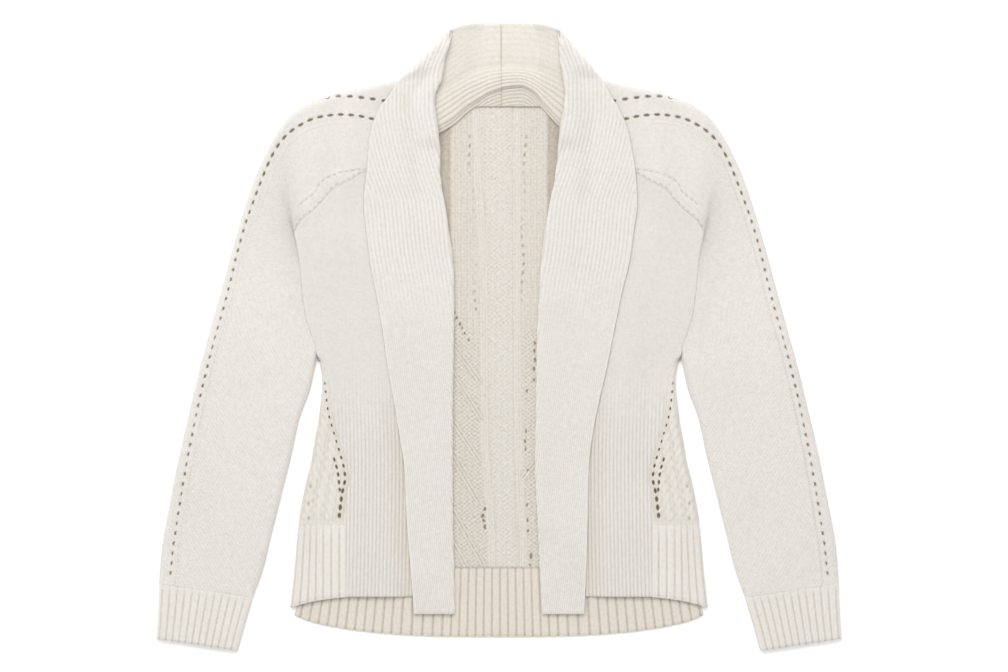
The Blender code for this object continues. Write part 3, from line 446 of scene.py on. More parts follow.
def lapel_path(y, side):
    """The lapel's section: half widths of roll and outer edge, width under the roll, and heights."""
    base = read(LAPEL, "base", y) + WALL / 2
    return lapel_roll(y, side), lapel_outer(y, side), read(LAPEL, "under", y), base, read(LAPEL, "edge", y)


def lapel_surface(side):
    """Middle of the lapel: u 0 to 1 is the under layer, 1 to 2 the roll, 2 to 3 the top layer."""

    def surface(u, v):
        roll, outer, under, base, edge = lapel_path(v, side)
        curl = ease(287, 303, v)
        radius = LAYER / 2
        centre = roll + radius + WALL / 2
        puff = 2.0 * ease(-250, -50, v)
        top = base + LAYER + puff
        x_under = centre + (under - radius - WALL / 2) * (1 - u)
        angle = np.clip(u - 1, 0, 1) * np.pi
        half = (top - base) / 2
        x_roll = centre - np.sin(angle) * radius
        z_roll = base + half * (1 - np.cos(angle))
        share = np.clip(u - 2, -0.01, 1.01)
        end = outer - WALL / 2 * curl
        x_top = centre + (end - centre) * share
        z_far = edge + WALL / 2 + (base + LAYER - edge - WALL / 2) * curl
        z_top = top + (z_far - top) * ease(0.05, 0.45, share)
        inset = end - x_top
        turn = np.clip(inset / (FOLD_REACH + 3), 0, 1)
        z_curl = z_top * np.sqrt(1 - (1 - turn) ** 2)
        z_top = z_top + (z_curl - z_top) * curl
        x = np.where(u <= 1, x_under, np.where(u <= 2, x_roll, x_top))
        z = np.where(u <= 1, base, np.where(u <= 2, z_roll, z_top))
        return np.stack([x, v, z], -1)

    return surface


def section_normal(surface, u, y):
    """Normal within the section at height y, to the outer side of the roll."""
    tiny = 1e-3
    v = np.full_like(u, y)
    ahead = surface(u + tiny, v)
    behind = surface(u - tiny, v)
    along = ahead - behind
    normal = np.stack([-along[:, 2], np.zeros(len(u)), along[:, 0]], -1)
    return normal / np.linalg.norm(normal, axis=-1, keepdims=True)


def hem_bottom(x):
    """Height of the back hem's lower edge, which the fronts leave in view."""
    share = np.clip(np.abs(x) / 234.0, 0, 1)
    return HEM_MIDDLE_Y + 22.0 * share**3 + 6.0 * share**20


def hem_front_low(x):
    """Lower edge of the side wraps, which curves up from the side corner to the front's hem."""
    share = np.clip((x - 171.0) / 63.0, 0, 1)
    return FRONT_HEM_Y - 11.5 * share**1.7


def armhole_x(side_gap):
    """Points of the body's edge along the yoke and armhole seam, from the underarm up."""
    stations = np.linspace(0, UNDERARM, 90)
    seam = sleeve_edges(stations)[0]
    points = seam - seam_offset(stations) * side_gap
    return points[::-1]


def bell(distance, half):
    """1 on a line, falling away within about its half width."""
    return np.exp(-((distance / half) ** 2))


def cord(distance, half):
    """Section of a round knitted cord: a half circle with soft feet."""
    return np.sqrt(np.clip(1 - (distance / half) ** 2, 0, 1))


def rib(phase, sharp=3):
    """Rounded ribs with narrow valleys where the phase is whole."""
    return 1 - np.cos(np.pi * phase) ** (2 * sharp)


def wide_rib(phase):
    """Ribs two stitches wide: narrow valleys and a faint line down the middle of each rib."""
    within = np.abs(phase - np.round(phase))
    return (1 - 0.95 * bell(within, 0.13)) - 0.12 * bell(within - 0.5, 0.1)


def rope(distance, along, width, pitch):
    """Two strands that cross over each other."""
    turn = 2 * np.pi * along / pitch
    swing = 0.26 * width
    first = cord(distance - swing * np.cos(turn), 0.3 * width) * (0.75 + 0.25 * np.sin(turn))
    second = cord(distance + swing * np.cos(turn), 0.3 * width) * (0.75 - 0.25 * np.sin(turn))
    return np.maximum(first, second)


def plait(distance, along, width, pitch):
    """Three strands woven in turn."""
    height = np.zeros(np.broadcast(distance, along).shape)
    for k in range(3):
        turn = 2 * np.pi * (along / pitch + k / 3)
        strand = cord(distance - 0.33 * width * np.sin(turn), 0.2 * width)
        height = np.maximum(height, strand * (0.75 + 0.25 * np.cos(2 * turn)))
    return height


def soft_waves(x, y, seed, lengths=(70, 160), count=5):
    """Slow uneven rise and fall of cloth that has been smoothed by hand, within about 1 either way."""
    draw = np.random.default_rng(seed)
    total = np.zeros(np.broadcast(x, y).shape)
    for _ in range(count):
        angle = draw.uniform(0, np.pi)
        length = draw.uniform(*lengths)
        phase = draw.uniform(0, 2 * np.pi)
        total = total + np.sin(2 * np.pi * (x * np.cos(angle) + y * np.sin(angle)) / length + phase)
    return total / count


def route_points(rows, steps=240):
    """A smooth line through the rows, evenly spaced, with the run along it."""
    keys = np.arange(len(rows["x"]))
    fine = np.linspace(0, keys[-1], 600)
    x = smooth(keys, rows["x"], fine)
    y = smooth(keys, rows["y"], fine)
    run = np.concatenate([[0], np.cumsum(np.hypot(np.diff(x), np.diff(y)))])
    at = np.linspace(0, run[-1], steps)
    return np.stack([np.interp(at, run, x), np.interp(at, run, y)], -1), at


def route_frame(points, rows):
    """Run along a route and distance to its left for each point."""
    line, run = route_points(rows)
    ahead = np.gradient(line, axis=0)
    ahead /= np.linalg.norm(ahead, axis=-1, keepdims=True)
    along = np.empty(points.shape[:-1])
    aside = np.empty(points.shape[:-1])
    for i, row in enumerate(points):
        gap = row[:, None, :2] - line[None]
        near = (gap**2).sum(-1).argmin(1)
        offset = gap[np.arange(len(row)), near]
        way = ahead[near]
        step = (offset * way).sum(-1)
        aside[i] = way[:, 0] * offset[:, 1] - way[:, 1] * offset[:, 0]
        along[i] = run[near] + step
    return along, aside, run[-1]


def hole_mask(along, aside, total, pitch, half_long, half_wide):
    """1 inside each hole of a row, 0 outside, and how near its rim a place is."""
    count = int(round(total / pitch))
    step = total / count
    index = np.clip(np.round(along / step), 0, count)
    span = np.hypot((along - index * step) / half_long, aside / half_wide)
    return ease(1.2, 0.75, span), bell(span - 1.5, 0.35)


def between(run, total, past=4.0, full=0.0):
    """1 along a route, falling to 0 beyond both of its ends."""
    return ease(-past, -full, run) * ease(total + past, total + full, run)


def every(step, count):
    """Each step-th index of a row, and the last."""
    return np.unique(np.append(np.arange(0, count, step), count - 1))


def zip_rim(first, second, first_share, second_share):
    """Triangles between two rows of vertices matched by shares."""
    i = 0
    j = 0
    made = []
    while i < len(first) - 1 or j < len(second) - 1:
        if j == len(second) - 1 or (i < len(first) - 1 and first_share[i + 1] <= second_share[j + 1]):
            made.append((first[i], second[j], first[i + 1]))
            i += 1
        else:
            made.append((first[i], second[j], second[j + 1]))
            j += 1
    return made


def grid_quads(index, closed):
    """Quads of a grid of vertices; a closed one joins its last column to its first."""
    ahead = np.roll(index, -1, 1) if closed else index[:, 1:]
    here = index if closed else index[:, :-1]
    return np.stack([here[:-1], ahead[:-1], ahead[1:], here[1:]], -1).reshape(-1, 4)


def share_of(points):
    """How far each point of a row lies along it, from 0 to 1."""
    run = np.concatenate([[0], np.cumsum(np.linalg.norm(np.diff(points, axis=0), axis=-1))])
    return run / run[-1]


def shell(name, top, bottom, cloth, shade, material, nodes, side=1, closed=False):
    """One closed sheet of cloth: a fine visible side and a plain hidden one, joined round the rim."""
    rows, columns = top.shape[:2]
    top_index = np.arange(rows * columns).reshape(rows, columns)
    bottom_index = top_index.size + np.arange(bottom.shape[0] * bottom.shape[1]).reshape(bottom.shape[:2])
    faces = [tuple(f) for f in grid_quads(top_index, closed).tolist()]
    faces += [tuple(f) for f in grid_quads(bottom_index, closed).tolist()]
    across_top = np.linspace(0, 1, columns)
    across_bottom = np.linspace(0, 1, bottom.shape[1])
    down_top = np.linspace(0, 1, rows)
    down_bottom = np.linspace(0, 1, bottom.shape[0])
    for k in (0, -1):
        first = top_index[k].tolist()
        second = bottom_index[k].tolist()
        if closed:
            first = first + first[:1]
            second = second + second[:1]
            faces += zip_rim(first, second, np.linspace(0, 1, len(first)), np.linspace(0, 1, len(second)))
        else:
            faces += zip_rim(first, second, share_of(top[k]), share_of(bottom[k]))
            edge_top = top_index[:, k].tolist()
            edge_bottom = bottom_index[:, k].tolist()
            faces += zip_rim(edge_top, edge_bottom, share_of(top[:, k]), share_of(bottom[:, k]))
    points = np.concatenate([top.reshape(-1, 3), bottom.reshape(-1, 3)]) * (side, 1, 1) * MM
    data = bpy.data.meshes.new(name + "_knit")
    data.from_pydata(points.tolist(), [], faces)
    mesh = bmesh.new()
    mesh.from_mesh(data)
    bmesh.ops.recalc_face_normals(mesh, faces=mesh.faces)
    if mesh.calc_volume(signed=True) < 0:
        bmesh.ops.reverse_faces(mesh, faces=mesh.faces)
    mesh.to_mesh(data)
    mesh.free()
    data.shade_smooth()
    data.set_sharp_from_angle(angle=np.radians(SHARP_DEGREES))
    low_u = np.interp(across_bottom, across_top, cloth[0, :, 0])
    low_v = np.interp(down_bottom, down_top, cloth[:, 0, 1])
    low = np.stack(np.meshgrid(low_u, low_v), -1)
    flat_uv = np.concatenate([cloth.reshape(-1, 2), low.reshape(-1, 2)]) * UV_SCALE
    corner = np.empty(len(data.loops), np.int32)
    data.loops.foreach_get("vertex_index", corner)
    layer = data.uv_layers.new(name="cloth")
    layer.data.foreach_set("uv", flat_uv[corner].astype(np.float32).ravel())
    tone = data.attributes.new("shade", "FLOAT", "POINT")
    # The hidden side gets a little painted shade
    values = np.concatenate([shade.ravel(), np.full(bottom_index.size, 0.92)])
    tone.data.foreach_set("value", values.astype(np.float32))
    data.materials.append(material)
    thing = bpy.data.objects.new(name + "_knit", data)
    bpy.context.scene.collection.objects.link(thing)
    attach(thing, "root")
    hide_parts(*nodes)
    return thing


def row_runs(points):
    """Distance of each point along its own row, from the row's middle."""
    run = np.linalg.norm(np.diff(points, axis=1), axis=-1).cumsum(1)
    run = np.concatenate([np.zeros((len(points), 1)), run], 1)
    return run - run[:, run.shape[1] // 2, None]


# Materials


def knit(name, colour, wale, course, depth, stitch_shade=0.2, mottle=0.2, level=0.72):
    """Knitted yarn: stitch legs in the cloth's own coordinates as bumps and as painted shade between the loops,
    mottled colour, the painted shade and light of each piece's shade attribute, and a soft halo.
    """
    material = bpy.data.materials.new(name)
    material.use_nodes = True
    tree = material.node_tree
    nodes = tree.nodes
    links = tree.links
    shader = nodes["Principled BSDF"]

    def value(operation, first, second=None, third=None):
        node = nodes.new("ShaderNodeMath")
        node.operation = operation
        for socket, given in zip(node.inputs, (first, second, third)):
            if given is None:
                continue
            if hasattr(given, "links"):
                links.new(given, socket)
            else:
                socket.default_value = given
        return node.outputs[0]

    place = nodes.new("ShaderNodeUVMap")
    place.uv_map = "cloth"
    split = nodes.new("ShaderNodeSeparateXYZ")
    links.new(place.outputs["UV"], split.inputs[0])
    across = value("DIVIDE", split.outputs[0], wale * UV_SCALE)
    along = value("DIVIDE", split.outputs[1], course * UV_SCALE)
    within = value("ABSOLUTE", value("SUBTRACT", value("FRACT", across), 0.5))
    slanted = value("MULTIPLY_ADD", within, 2 * STITCH_SLANT, along)
    loop = value("MULTIPLY_ADD", value("COSINE", value("MULTIPLY", slanted, 2 * np.pi)), 0.5, 0.5)
    leg = value("SINE", value("MULTIPLY", within, 2 * np.pi))
    stitch = value("MULTIPLY", value("MULTIPLY_ADD", loop, 0.6, 0.4), leg)
    where = nodes.new("ShaderNodeTexCoord").outputs["Object"]

    def noise(scale, detail):
        node = nodes.new("ShaderNodeTexNoise")
        node.inputs["Scale"].default_value = scale
        node.inputs["Detail"].default_value = detail
        links.new(where, node.inputs["Vector"])
        return node.outputs["Fac"]

    fine = noise(900, 2)
    heather = noise(330, 3)
    broad = noise(14, 2)
    shade = nodes.new("ShaderNodeAttribute")
    shade.attribute_name = "shade"
    # Painted shade: the tone dips between the stitch loops
    tone = value("MULTIPLY_ADD", stitch, stitch_shade, 1.0 - level * stitch_shade)
    tone = value("ADD", tone, value("MULTIPLY_ADD", heather, mottle, -0.5 * mottle))
    tone = value("ADD", tone, value("MULTIPLY_ADD", broad, 0.05, -0.025))
    # Painted shade and light of the piece, from its shade attribute
    tone = value("MULTIPLY", tone, shade.outputs["Fac"])
    ramp = nodes.new("ShaderNodeValToRGB")
    for k, (at, tint) in enumerate((*PAINTED_SHADE_COLOURS, (1.0, colour))):
        stop = ramp.color_ramp.elements[k] if k < 2 else ramp.color_ramp.elements.new(at)
        stop.position = at
        stop.color = (*tint, 1)
    links.new(tone, ramp.inputs["Fac"])
    links.new(ramp.outputs["Color"], shader.inputs["Base Color"])
    height = value("ADD", stitch, value("MULTIPLY", fine, 0.5))
    bump = nodes.new("ShaderNodeBump")
    bump.inputs["Distance"].default_value = depth * MM
    bump.inputs["Strength"].default_value = 0.9
    links.new(height, bump.inputs["Height"])
    links.new(bump.outputs["Normal"], shader.inputs["Normal"])
    shader.inputs["Roughness"].default_value = 0.92
    shader.inputs["Specular IOR Level"].default_value = 0.18
    shader.inputs["Sheen Weight"].default_value = 0.35
    shader.inputs["Sheen Roughness"].default_value = 0.6
    return material


CREAM = (0.945, 0.915, 0.868)
SIDE_CREAM = (0.905, 0.88, 0.84)
BACK = (0.92, 0.88, 0.82)
PALE = (0.918, 0.898, 0.878)
SOFT = (0.905, 0.885, 0.878)
RIBBED = (0.91, 0.88, 0.84)
WARM = (0.905, 0.86, 0.80)
SHADED = (0.85, 0.79, 0.70)
plain_knit = knit("sleeve_knit", CREAM, 3.0, 2.4, 0.6, stitch_shade=0.38, mottle=0.28, level=0.62)
side_knit = knit("cable_knit", SIDE_CREAM, 3.0, 2.4, 0.4, stitch_shade=0.3)
rib_knit = knit("rib_knit", RIBBED, 2.9, 2.3, 0.35)
front_knit = knit("front_knit", SOFT, 2.1, 2.4, 0.35, stitch_shade=0.28, level=0.65)
lapel_knit = knit("collar_knit", PALE, 2.3, 2.6, 0.35)
stand_knit = knit("collar_inside_knit", WARM, 2.3, 2.6, 0.35)
back_knit = knit("back_inside_knit", BACK, 2.7, 2.3, 0.6, stitch_shade=0.45, mottle=0.45, level=0.53)
back_rib_knit = knit("hem_inside_knit", SHADED, 3.0, 2.3, 0.35, mottle=0.3)

# The back's knitted columns, which drift outward lower down, and the half width of the plait
BACK_LINES = table(
    "y cord_in braid half cord_out eye_in eye_out",
    (254, -25.8, -3.4, 17.0, 20.2, -35.3, 29.7),
    (193, -24.6, -2.8, 16.5, 19.6, -32.5, 29.0),
    (109, -19.0, 1.1, 14.0, 19.6, -26.3, 26.3),
    (-3, -16.8, 1.1, 14.0, 20.2, -26.3, 27.0),
    (-104, -16.2, 2.8, 13.0, 21.3, -26.0, 30.0),
    (-227, -8.0, 8.4, 11.2, 26.9, -18.0, 32.0),
)

# Single openings of the back and its slanting cords, by their places in the photograph
BACK_EYELETS = table(
    "px py long wide",
    (454.3, 312.7, 1.9, 1.3),
    (456.6, 318, 1.9, 1.4),
    (460, 324, 2.2, 1.5),
    (462, 328, 1.5, 1.3),
    (464.7, 333.6, 1.6, 1.3),
    (468.8, 339.7, 1.6, 1.3),
    (485, 509, 2.3, 1.7),
    (482.7, 515.8, 2.6, 2.2),
    (483.6, 520.5, 1.8, 1.8),
    (485, 527, 2.8, 1.7),
    (535, 343, 2.4, 1.2),
    (534.5, 351, 2.4, 1.2),
    (535, 360, 2.6, 1.4),
    (534, 369, 2.6, 1.4),
    (527, 391, 2.2, 1.2),
    (534, 380, 2.4, 1.1),
    (526, 431, 2.0, 1.2),
    (525, 441, 2.4, 1.3),
    (525.5, 449, 2.0, 1.2),
    (527.6, 470, 1.8, 1.1),
    (527, 505, 2.2, 1.2),
    (527.6, 520, 2.4, 1.3),
    (528, 531, 2.0, 1.2),
    (537.5, 502, 2.6, 1.2),
    (538, 515, 2.6, 1.2),
    (531, 556, 3.4, 1.8),
    (530, 565, 1.6, 1.2),
)
SLANTS = table(
    "x0 y0 x1 y1",
    (455, 347, 482, 384),
    (454.3, 375.6, 482.3, 421),
    (453.7, 422.4, 481.6, 464),
    (452.4, 457.5, 481, 505),
    (454.6, 513.8, 484.3, 566.5),
    (454.6, 546.2, 468, 569.2),
    (529, 470, 541, 455),
)

YOKE_LOW = table(
    "x y",
    (149, 186),
    (166.9, 175.8),
    (183.7, 167.5),
    (197.1, 152.3),
    (208.3, 141.1),
    (220.6, 131.3),
    (228, 117.5),
)
YOKE_HIGH = table(
    "x y",
    (149, 188),
    (172.5, 184.7),
    (184, 181.3),
    (199.4, 172.5),
    (205, 162.4),
    (217.3, 152.3),
    (226.5, 145.5),
)


def sleeve_rows(spacing):
    """Stations of the sleeve spaced evenly along its middle, with the run at each."""
    dense = np.linspace(0, CUFF - 0.005, 1600)
    inner, outer = sleeve_edges(dense)
    middle = (inner + outer) / 2
    run = np.concatenate([[0], np.cumsum(np.linalg.norm(np.diff(middle, axis=0), axis=-1))])
    at = np.linspace(0, run[-1], int(run[-1] / spacing))
    return np.interp(at, run, dense), at


def make_sleeve(side, word):
    """A sleeve with its saddle yoke: the upper wall with its openwork, and the plain lower wall."""
    surface = sleeve_front_surface(side)
    stations, run = sleeve_rows(1.3)
    u = np.concatenate(
        [np.linspace(0, SLEEVE_TURN, 8)[:-1], np.linspace(SLEEVE_TURN, 1 - SLEEVE_TURN, 96)]
        + [np.linspace(1 - SLEEVE_TURN, 1, 9)[1:]]
    )
    grid_u, grid_v = np.meshgrid(u, stations)
    middle = surface(grid_u, grid_v)
    normal = normals(surface, grid_u, grid_v)
    top = middle - normal * WALL / 2
    free = ease(UNDERARM - 0.4, UNDERARM + 0.6, grid_v)[..., None]
    inner, outer = sleeve_edges(grid_v)
    width = np.linalg.norm(outer - inner, axis=-1, keepdims=True)
    across = (outer - inner) / width
    fold_end = surface(np.full_like(grid_u, SLEEVE_TURN), grid_v)[..., :2]
    reach = ((fold_end - inner) * across).sum(-1, keepdims=True)
    sewn = inner + across * (0.05 + (reach - 0.05) * grid_u[..., None] / SLEEVE_TURN)
    sewn_z = front_middle(sewn[..., 0], sewn[..., 1], side) + WALL / 2
    sewn = np.concatenate([sewn, sewn_z[..., None]], -1)
    near = (grid_u < SLEEVE_TURN)[..., None]
    top = np.where(near, sewn + (top - sewn) * free, top)
    down = np.array([0, 0, -1.0])
    normal = np.where(near, down + (normal - down) * free, normal)
    smooth_top = top.copy()
    along, aside, total = route_frame(top, SLEEVE_HOLES)
    size = 0.62 + 0.3 * ease(230, 90, along)
    paced = along - SLEEVE_HOLE_SPREAD * np.minimum(along, SLEEVE_HOLE_SPREAD_END)
    length = total - SLEEVE_HOLE_SPREAD * SLEEVE_HOLE_SPREAD_END
    hole, rim = hole_mask(paced, aside, length, SLEEVE_HOLE_PITCH, 3.6 * size, 1.75 * size)
    within = between(along, total)
    short, apart, whole = route_frame(top, SHOULDER_HOLES)
    extra, extra_rim = hole_mask(short, apart, whole, SHOULDER_HOLE_PITCH, 3.3, 1.7)
    dark = np.maximum(hole * within, extra * between(short, whole))
    rims = np.maximum(rim * within, extra_rim * between(short, whole, 8, 4))
    ridge = (0.75 * bell(aside + 8.5, 1.5) - 0.35 * bell(aside + 5.6, 1.6)) * ease(20, 40, along)
    low_run, low_aside, low_total = route_frame(top, YOKE_LOW)
    high_run, high_aside, high_total = route_frame(top, YOKE_HIGH)
    dashes = np.zeros(grid_u.shape)
    for place, off, end in ((low_run, low_aside - 1.5, low_total), (high_run, high_aside, high_total)):
        dash = hole_mask(place, off, end, YOKE_DASH_PITCH, 2.6, 0.9)[0]
        dashes = np.maximum(dashes, dash * ease(-2, 2, place) * ease(end, end - 3, place))
    small = rope(low_aside - 9.0, low_run, 8.0, 16.0)
    small = small * ease(25, 34, low_run) * ease(low_total - 6, low_total - 14, low_run)
    beside = bell(high_aside - 2.6, 1.4) * ease(0, 8, high_run) * ease(high_total + 2, high_total - 6, high_run)
    lift = ridge + 0.25 * rims - SLEEVE_HOLE_DEPTH * dark - 0.6 * dashes + 0.9 * small + 0.4 * beside
    lift = lift + 0.45 * soft_waves(top[..., 0], top[..., 1], 11 + side)
    lift = lift * ease(0, 0.05, grid_u)
    top = top - normal * lift[..., None]
    top[..., 2] = np.maximum(top[..., 2], 0.2)
    coarse_u = np.array([0, 0.1, SLEEVE_TURN, 0.5, 1 - SLEEVE_TURN, 0.9, 1])
    coarse_v = stations[np.linspace(0, len(stations) - 1, 40).astype(int)]
    low_grid = np.meshgrid(coarse_u, coarse_v)
    bottom = surface(*low_grid) + normals(surface, *low_grid) * WALL / 2
    bottom[..., 2] = np.maximum(bottom[..., 2] - 1.0, 0)
    cloth = np.stack([row_runs(smooth_top), np.broadcast_to(run[:, None], grid_u.shape)], -1)
    dotted_shade = (0.5 + 0.5 * np.cos(2 * np.pi * along / 3.4)) * bell(aside + 6.3, 1.1) * ease(25, 45, along)
    # Painted shade: the holes and the yoke's dashes are darkened as if shaded inside, and a dotted line of
    # shade lies beside the ridge
    shade = 1.03 - 0.66 * dark - 0.22 * dashes - 0.2 * dotted_shade
    # Painted light: the upper sleeve is a little brighter
    shade = shade + 0.04 * ease(-60, 60, top[..., 1]) * (1 - dark)
    shell("sleeve_front_" + word, top, bottom, cloth, shade, plain_knit,
          ["sleeve_front_" + word], side)
    back_u = np.linspace(0, 1, 12)
    back_v = stations[np.linspace(0, len(stations) - 1, 90).astype(int)]
    grid_u, grid_v = np.meshgrid(back_u, back_v)
    middle = sleeve_back_surface(grid_u, grid_v)
    upper = middle + np.array([0, 0, WALL / 2])
    lower = middle - np.array([0, 0, WALL / 2])
    cloth = np.stack([grid_u * 110, np.broadcast_to((grid_v * 28), grid_u.shape)], -1)
    # The lower wall gets a little painted shade
    shell("sleeve_back_" + word, lower, upper[::3, ::2], cloth, np.full(grid_u.shape, 0.96), plain_knit,
          ["sleeve_back_" + word], side)


def make_cuff(side, word):
    """The rib cuff: a flattened tube with ribs all over its upper side."""
    height = FRONT_MIDDLE + LOFT + WALL / 2

    def ring(end, share, offset, rise):
        inner, outer = sleeve_edges(end, CUFF_END)
        place = inner + (outer - inner) * share[:, None]
        across = (outer - inner) / np.linalg.norm(outer - inner)
        return np.concatenate([place + across * offset[:, None], rise[:, None]], -1)

    ends = np.concatenate([[0, 0.03], np.linspace(0.06, 1.93, 40), [1.955, 1.975, 1.99, 2.0]])
    turn = (1 - np.cos(np.linspace(0, np.pi / 2, 8))) * CUFF_TURN
    share = np.concatenate([turn[:-1], np.linspace(CUFF_TURN, 1 - CUFF_TURN, 150), 1 - turn[::-1][1:]])
    low = np.linspace(1, 0, 12)[1:-1]
    phase = share * CUFF_RIBS
    inset = np.minimum(share, 1 - share) / CUFF_TURN
    curve = np.sqrt(1 - (1 - np.clip(inset, 0, 1)) ** 2)
    ridges = wide_rib(phase)
    tops = []
    tones = []
    for end in ends:
        tip = float(ease(1.9, 2.0, end))
        pull = float(ease(0, 0.35, end))
        tuck = 0.5 * float(ease(0.03, 0, end))
        rise = (height - 0.2 - tuck - 1.1 * pull - 1.8 * tip) * (0.12 + 0.88 * curve)
        rise = rise + (1.0 * ridges * ease(0, 0.6, inset) - 0.4) * (0.3 + 0.7 * pull)
        rise = np.concatenate([rise, np.zeros(len(low))])
        places = np.concatenate([share, low])
        tops.append(ring(end, places, np.zeros(len(places)), np.maximum(rise, 0)))
        tops[-1][: len(share), 1] += (1 - ridges) * 0.7 * tip
        # Painted shade in the rib valleys, faint where the cuff meets the sleeve, and a little on the cuff's
        # lower side
        tones.append(np.concatenate([1 - 0.2 * (1 - ridges) * (0.2 + 0.8 * pull), np.full(len(low), 0.95)]))
    lid = np.linspace(0, 1, 9)
    inner_share = np.concatenate([lid, lid[-2:0:-1]])
    lift = 0.6 * np.concatenate([[0], np.ones(7), [0], -np.ones(7)])
    shift = 2.9 * np.concatenate([[1], np.zeros(7), [-1], np.zeros(7)])
    insides = [ring(end, inner_share, shift, height * 0.46 + lift) for end in np.linspace(0, 2.0, 5)]
    top = np.array(tops)
    cloth_u = np.concatenate([share, low]) * 105
    cloth = np.stack(np.meshgrid(cloth_u, ends * 33), -1)
    shell("cuff_" + word, top, np.array(insides), cloth, np.array(tones), rib_knit,
          ["cuff_" + word], side, closed=True)


def loops(aside, y, wide, high, seed):
    """A lattice of small uneven loops, each between two of the row below."""
    across = aside / wide + 0.2 * soft_waves(aside, y, seed, (8, 22), 6)
    up = y / high + 0.25 * soft_waves(aside, y, seed + 1, (8, 22), 6)
    return 0.5 + 0.25 * (np.cos(2 * np.pi * (across + up)) + np.cos(2 * np.pi * (across - up)))


def back_pattern(x, y):
    """Relief and openings of the back's inside: a plait between cords, eyelets and slanting cords."""
    place = {name: read(BACK_LINES, name, y) for name in list(BACK_LINES)[1:]}
    aside = x - place["braid"]
    inside = ease(place["half"] + 1.5, place["half"] - 1.0, np.abs(aside))
    stitches = loops(aside, y, 6.2, 5.2, 5)
    lift = inside * (0.1 + 0.95 * stitches + 0.35 * plait(aside, y, 2 * place["half"], 31))
    lift = lift - 0.5 * inside * bell(aside, 0.9) * (0.5 + 0.5 * np.cos(2 * np.pi * y / 4.6))
    for name in ("cord_in", "cord_out"):
        strip = ease(5.2, 4.4, np.abs(x - place[name]))
        lift = lift * (1 - strip)
        for step in (-2.8, 0.0, 2.8):
            lift = np.maximum(lift, 0.95 * cord(x - place[name] - step, 1.3))
    purl = 0.5 + 0.3 * (0.5 + 0.5 * np.cos(2 * np.pi * x / 3.4)) * (0.7 + 0.3 * np.cos(2 * np.pi * y / 3.8))
    wavy = 0.1 + 0.95 * loops(x, y, 6.0, 4.8, 9)
    busy = ease(12, -8, y + 0.9 * (x + 26)) * ease(place["cord_in"] - 3, place["cord_in"] - 6, x)
    busy = np.maximum(busy, ease(place["cord_out"] + 4, place["cord_out"] + 7, x) * ease(30, -10, y))
    lift = np.maximum(lift, purl + (wavy - purl) * busy)
    dark = np.zeros(x.shape)
    for name, low, high in (("eye_in", 30, 232), ("eye_out", 36, 232)):
        step = np.abs(y / EYELET_PITCH - np.round(y / EYELET_PITCH)) * EYELET_PITCH
        wander = x - place[name] - 1.3 * np.sin(y / 11.0)
        column = ease(low - 2, low + 2, y) * ease(high + 2, high - 2, y)
        strength = 0.12 + 0.6 * np.maximum(bell(y - 208, 20), bell(y - 62 * (name == "eye_out") - 20, 32))
        dark = np.maximum(dark, ease(1.3, 0.4, np.hypot(step / 2.6, wander / 1.5)) * column * strength)
        ring = bell(np.hypot(step / 4.4, wander / 3.2) - 1, 0.25)
        lift = np.maximum(lift, 0.75 * ring * column)
    for px, py, long, wide in zip(*BACK_EYELETS.values()):
        away = np.hypot((y - (MIDDLE_PY - py) * PIXEL) / long, (x - (px - MIDDLE_PX) * PIXEL) / wide)
        dark = np.maximum(dark, ease(1.3, 0.5, away))
    for start_x, start_y, end_x, end_y in zip(*SLANTS.values()):
        slope = np.array([end_x - start_x, start_y - end_y])
        slope = slope / np.hypot(*slope)
        to_x = x - (start_x - MIDDLE_PX) * PIXEL
        to_y = y - (MIDDLE_PY - start_y) * PIXEL
        run = to_x * slope[0] + to_y * slope[1]
        off = to_x * slope[1] - to_y * slope[0]
        total = np.hypot(end_x - start_x, end_y - start_y) * PIXEL
        held = ease(-14, -10, run) * ease(total + 1, total - 4, run)
        lift = lift * (1 - 0.75 * held * ease(4.4, 3.4, np.abs(off)))
        for step in (-1.9, 1.9):
            lift = np.maximum(lift, 0.95 * cord(off - step, 1.2) * held)
    return lift, dark


def make_back():
    """The inside of the back: a plait between cords, openwork lines and slanting cords at the left."""
    rows = np.arange(HEM_TOP_Y + 0.05, NECK_Y, 0.95)
    seam = armhole_x(SEAM / 2)
    body = read(BODY, "side", rows) - FOLD_CLEAR
    over = np.interp(rows, np.append(seam[:, 1], NECK_Y), np.append(seam[:, 0], NECK_HALF)) - 0.3
    reach = np.where(rows < SIDE_TOP_Y, np.minimum(body, 213), np.minimum(over, 228))
    reach = np.minimum(reach, np.interp(rows, [SIDE_TOP_Y, seam[0, 1] + 2], [body[rows < SIDE_TOP_Y][-1], 400]))
    dense = np.arange(-57, 57.1, 0.8)
    outside = np.array([0.2, 0.5, 1.0])
    x = []
    for r in reach:
        beyond = 57 + (r - 57) * outside if r > 60 else np.full(3, r)
        x.append(np.concatenate([-beyond[::-1], np.clip(dense, -r, r), beyond]))
    x = np.array(x)
    y = np.broadcast_to(rows[:, None], x.shape)
    lift, dark = back_pattern(x, y)
    lift = lift * ease(NECK_Y, NECK_Y - 8, y) * ease(HEM_TOP_Y, HEM_TOP_Y + 3, y) * ease(56, 52, np.abs(x))
    top = np.stack([x, y, WALL - 0.3 + lift - 1.2 * dark], -1)
    plain = np.stack([x, y, np.zeros(x.shape)], -1)
    bottom = np.concatenate([plain[::16], plain[-1:]])[:, [0, 1, 2, 40, 74, 108, -3, -2, -1]]
    # Painted shade: low places of the relief darker, raised stitches lighter, and the eyelets dark as if shaded
    # through
    shade = 0.73 + 0.32 * np.clip(lift, 0, 1) - 0.5 * dark
    cloth = np.stack([x, y], -1)
    shell("back_panel", top, bottom, cloth, shade, back_knit, ["back_panel"])


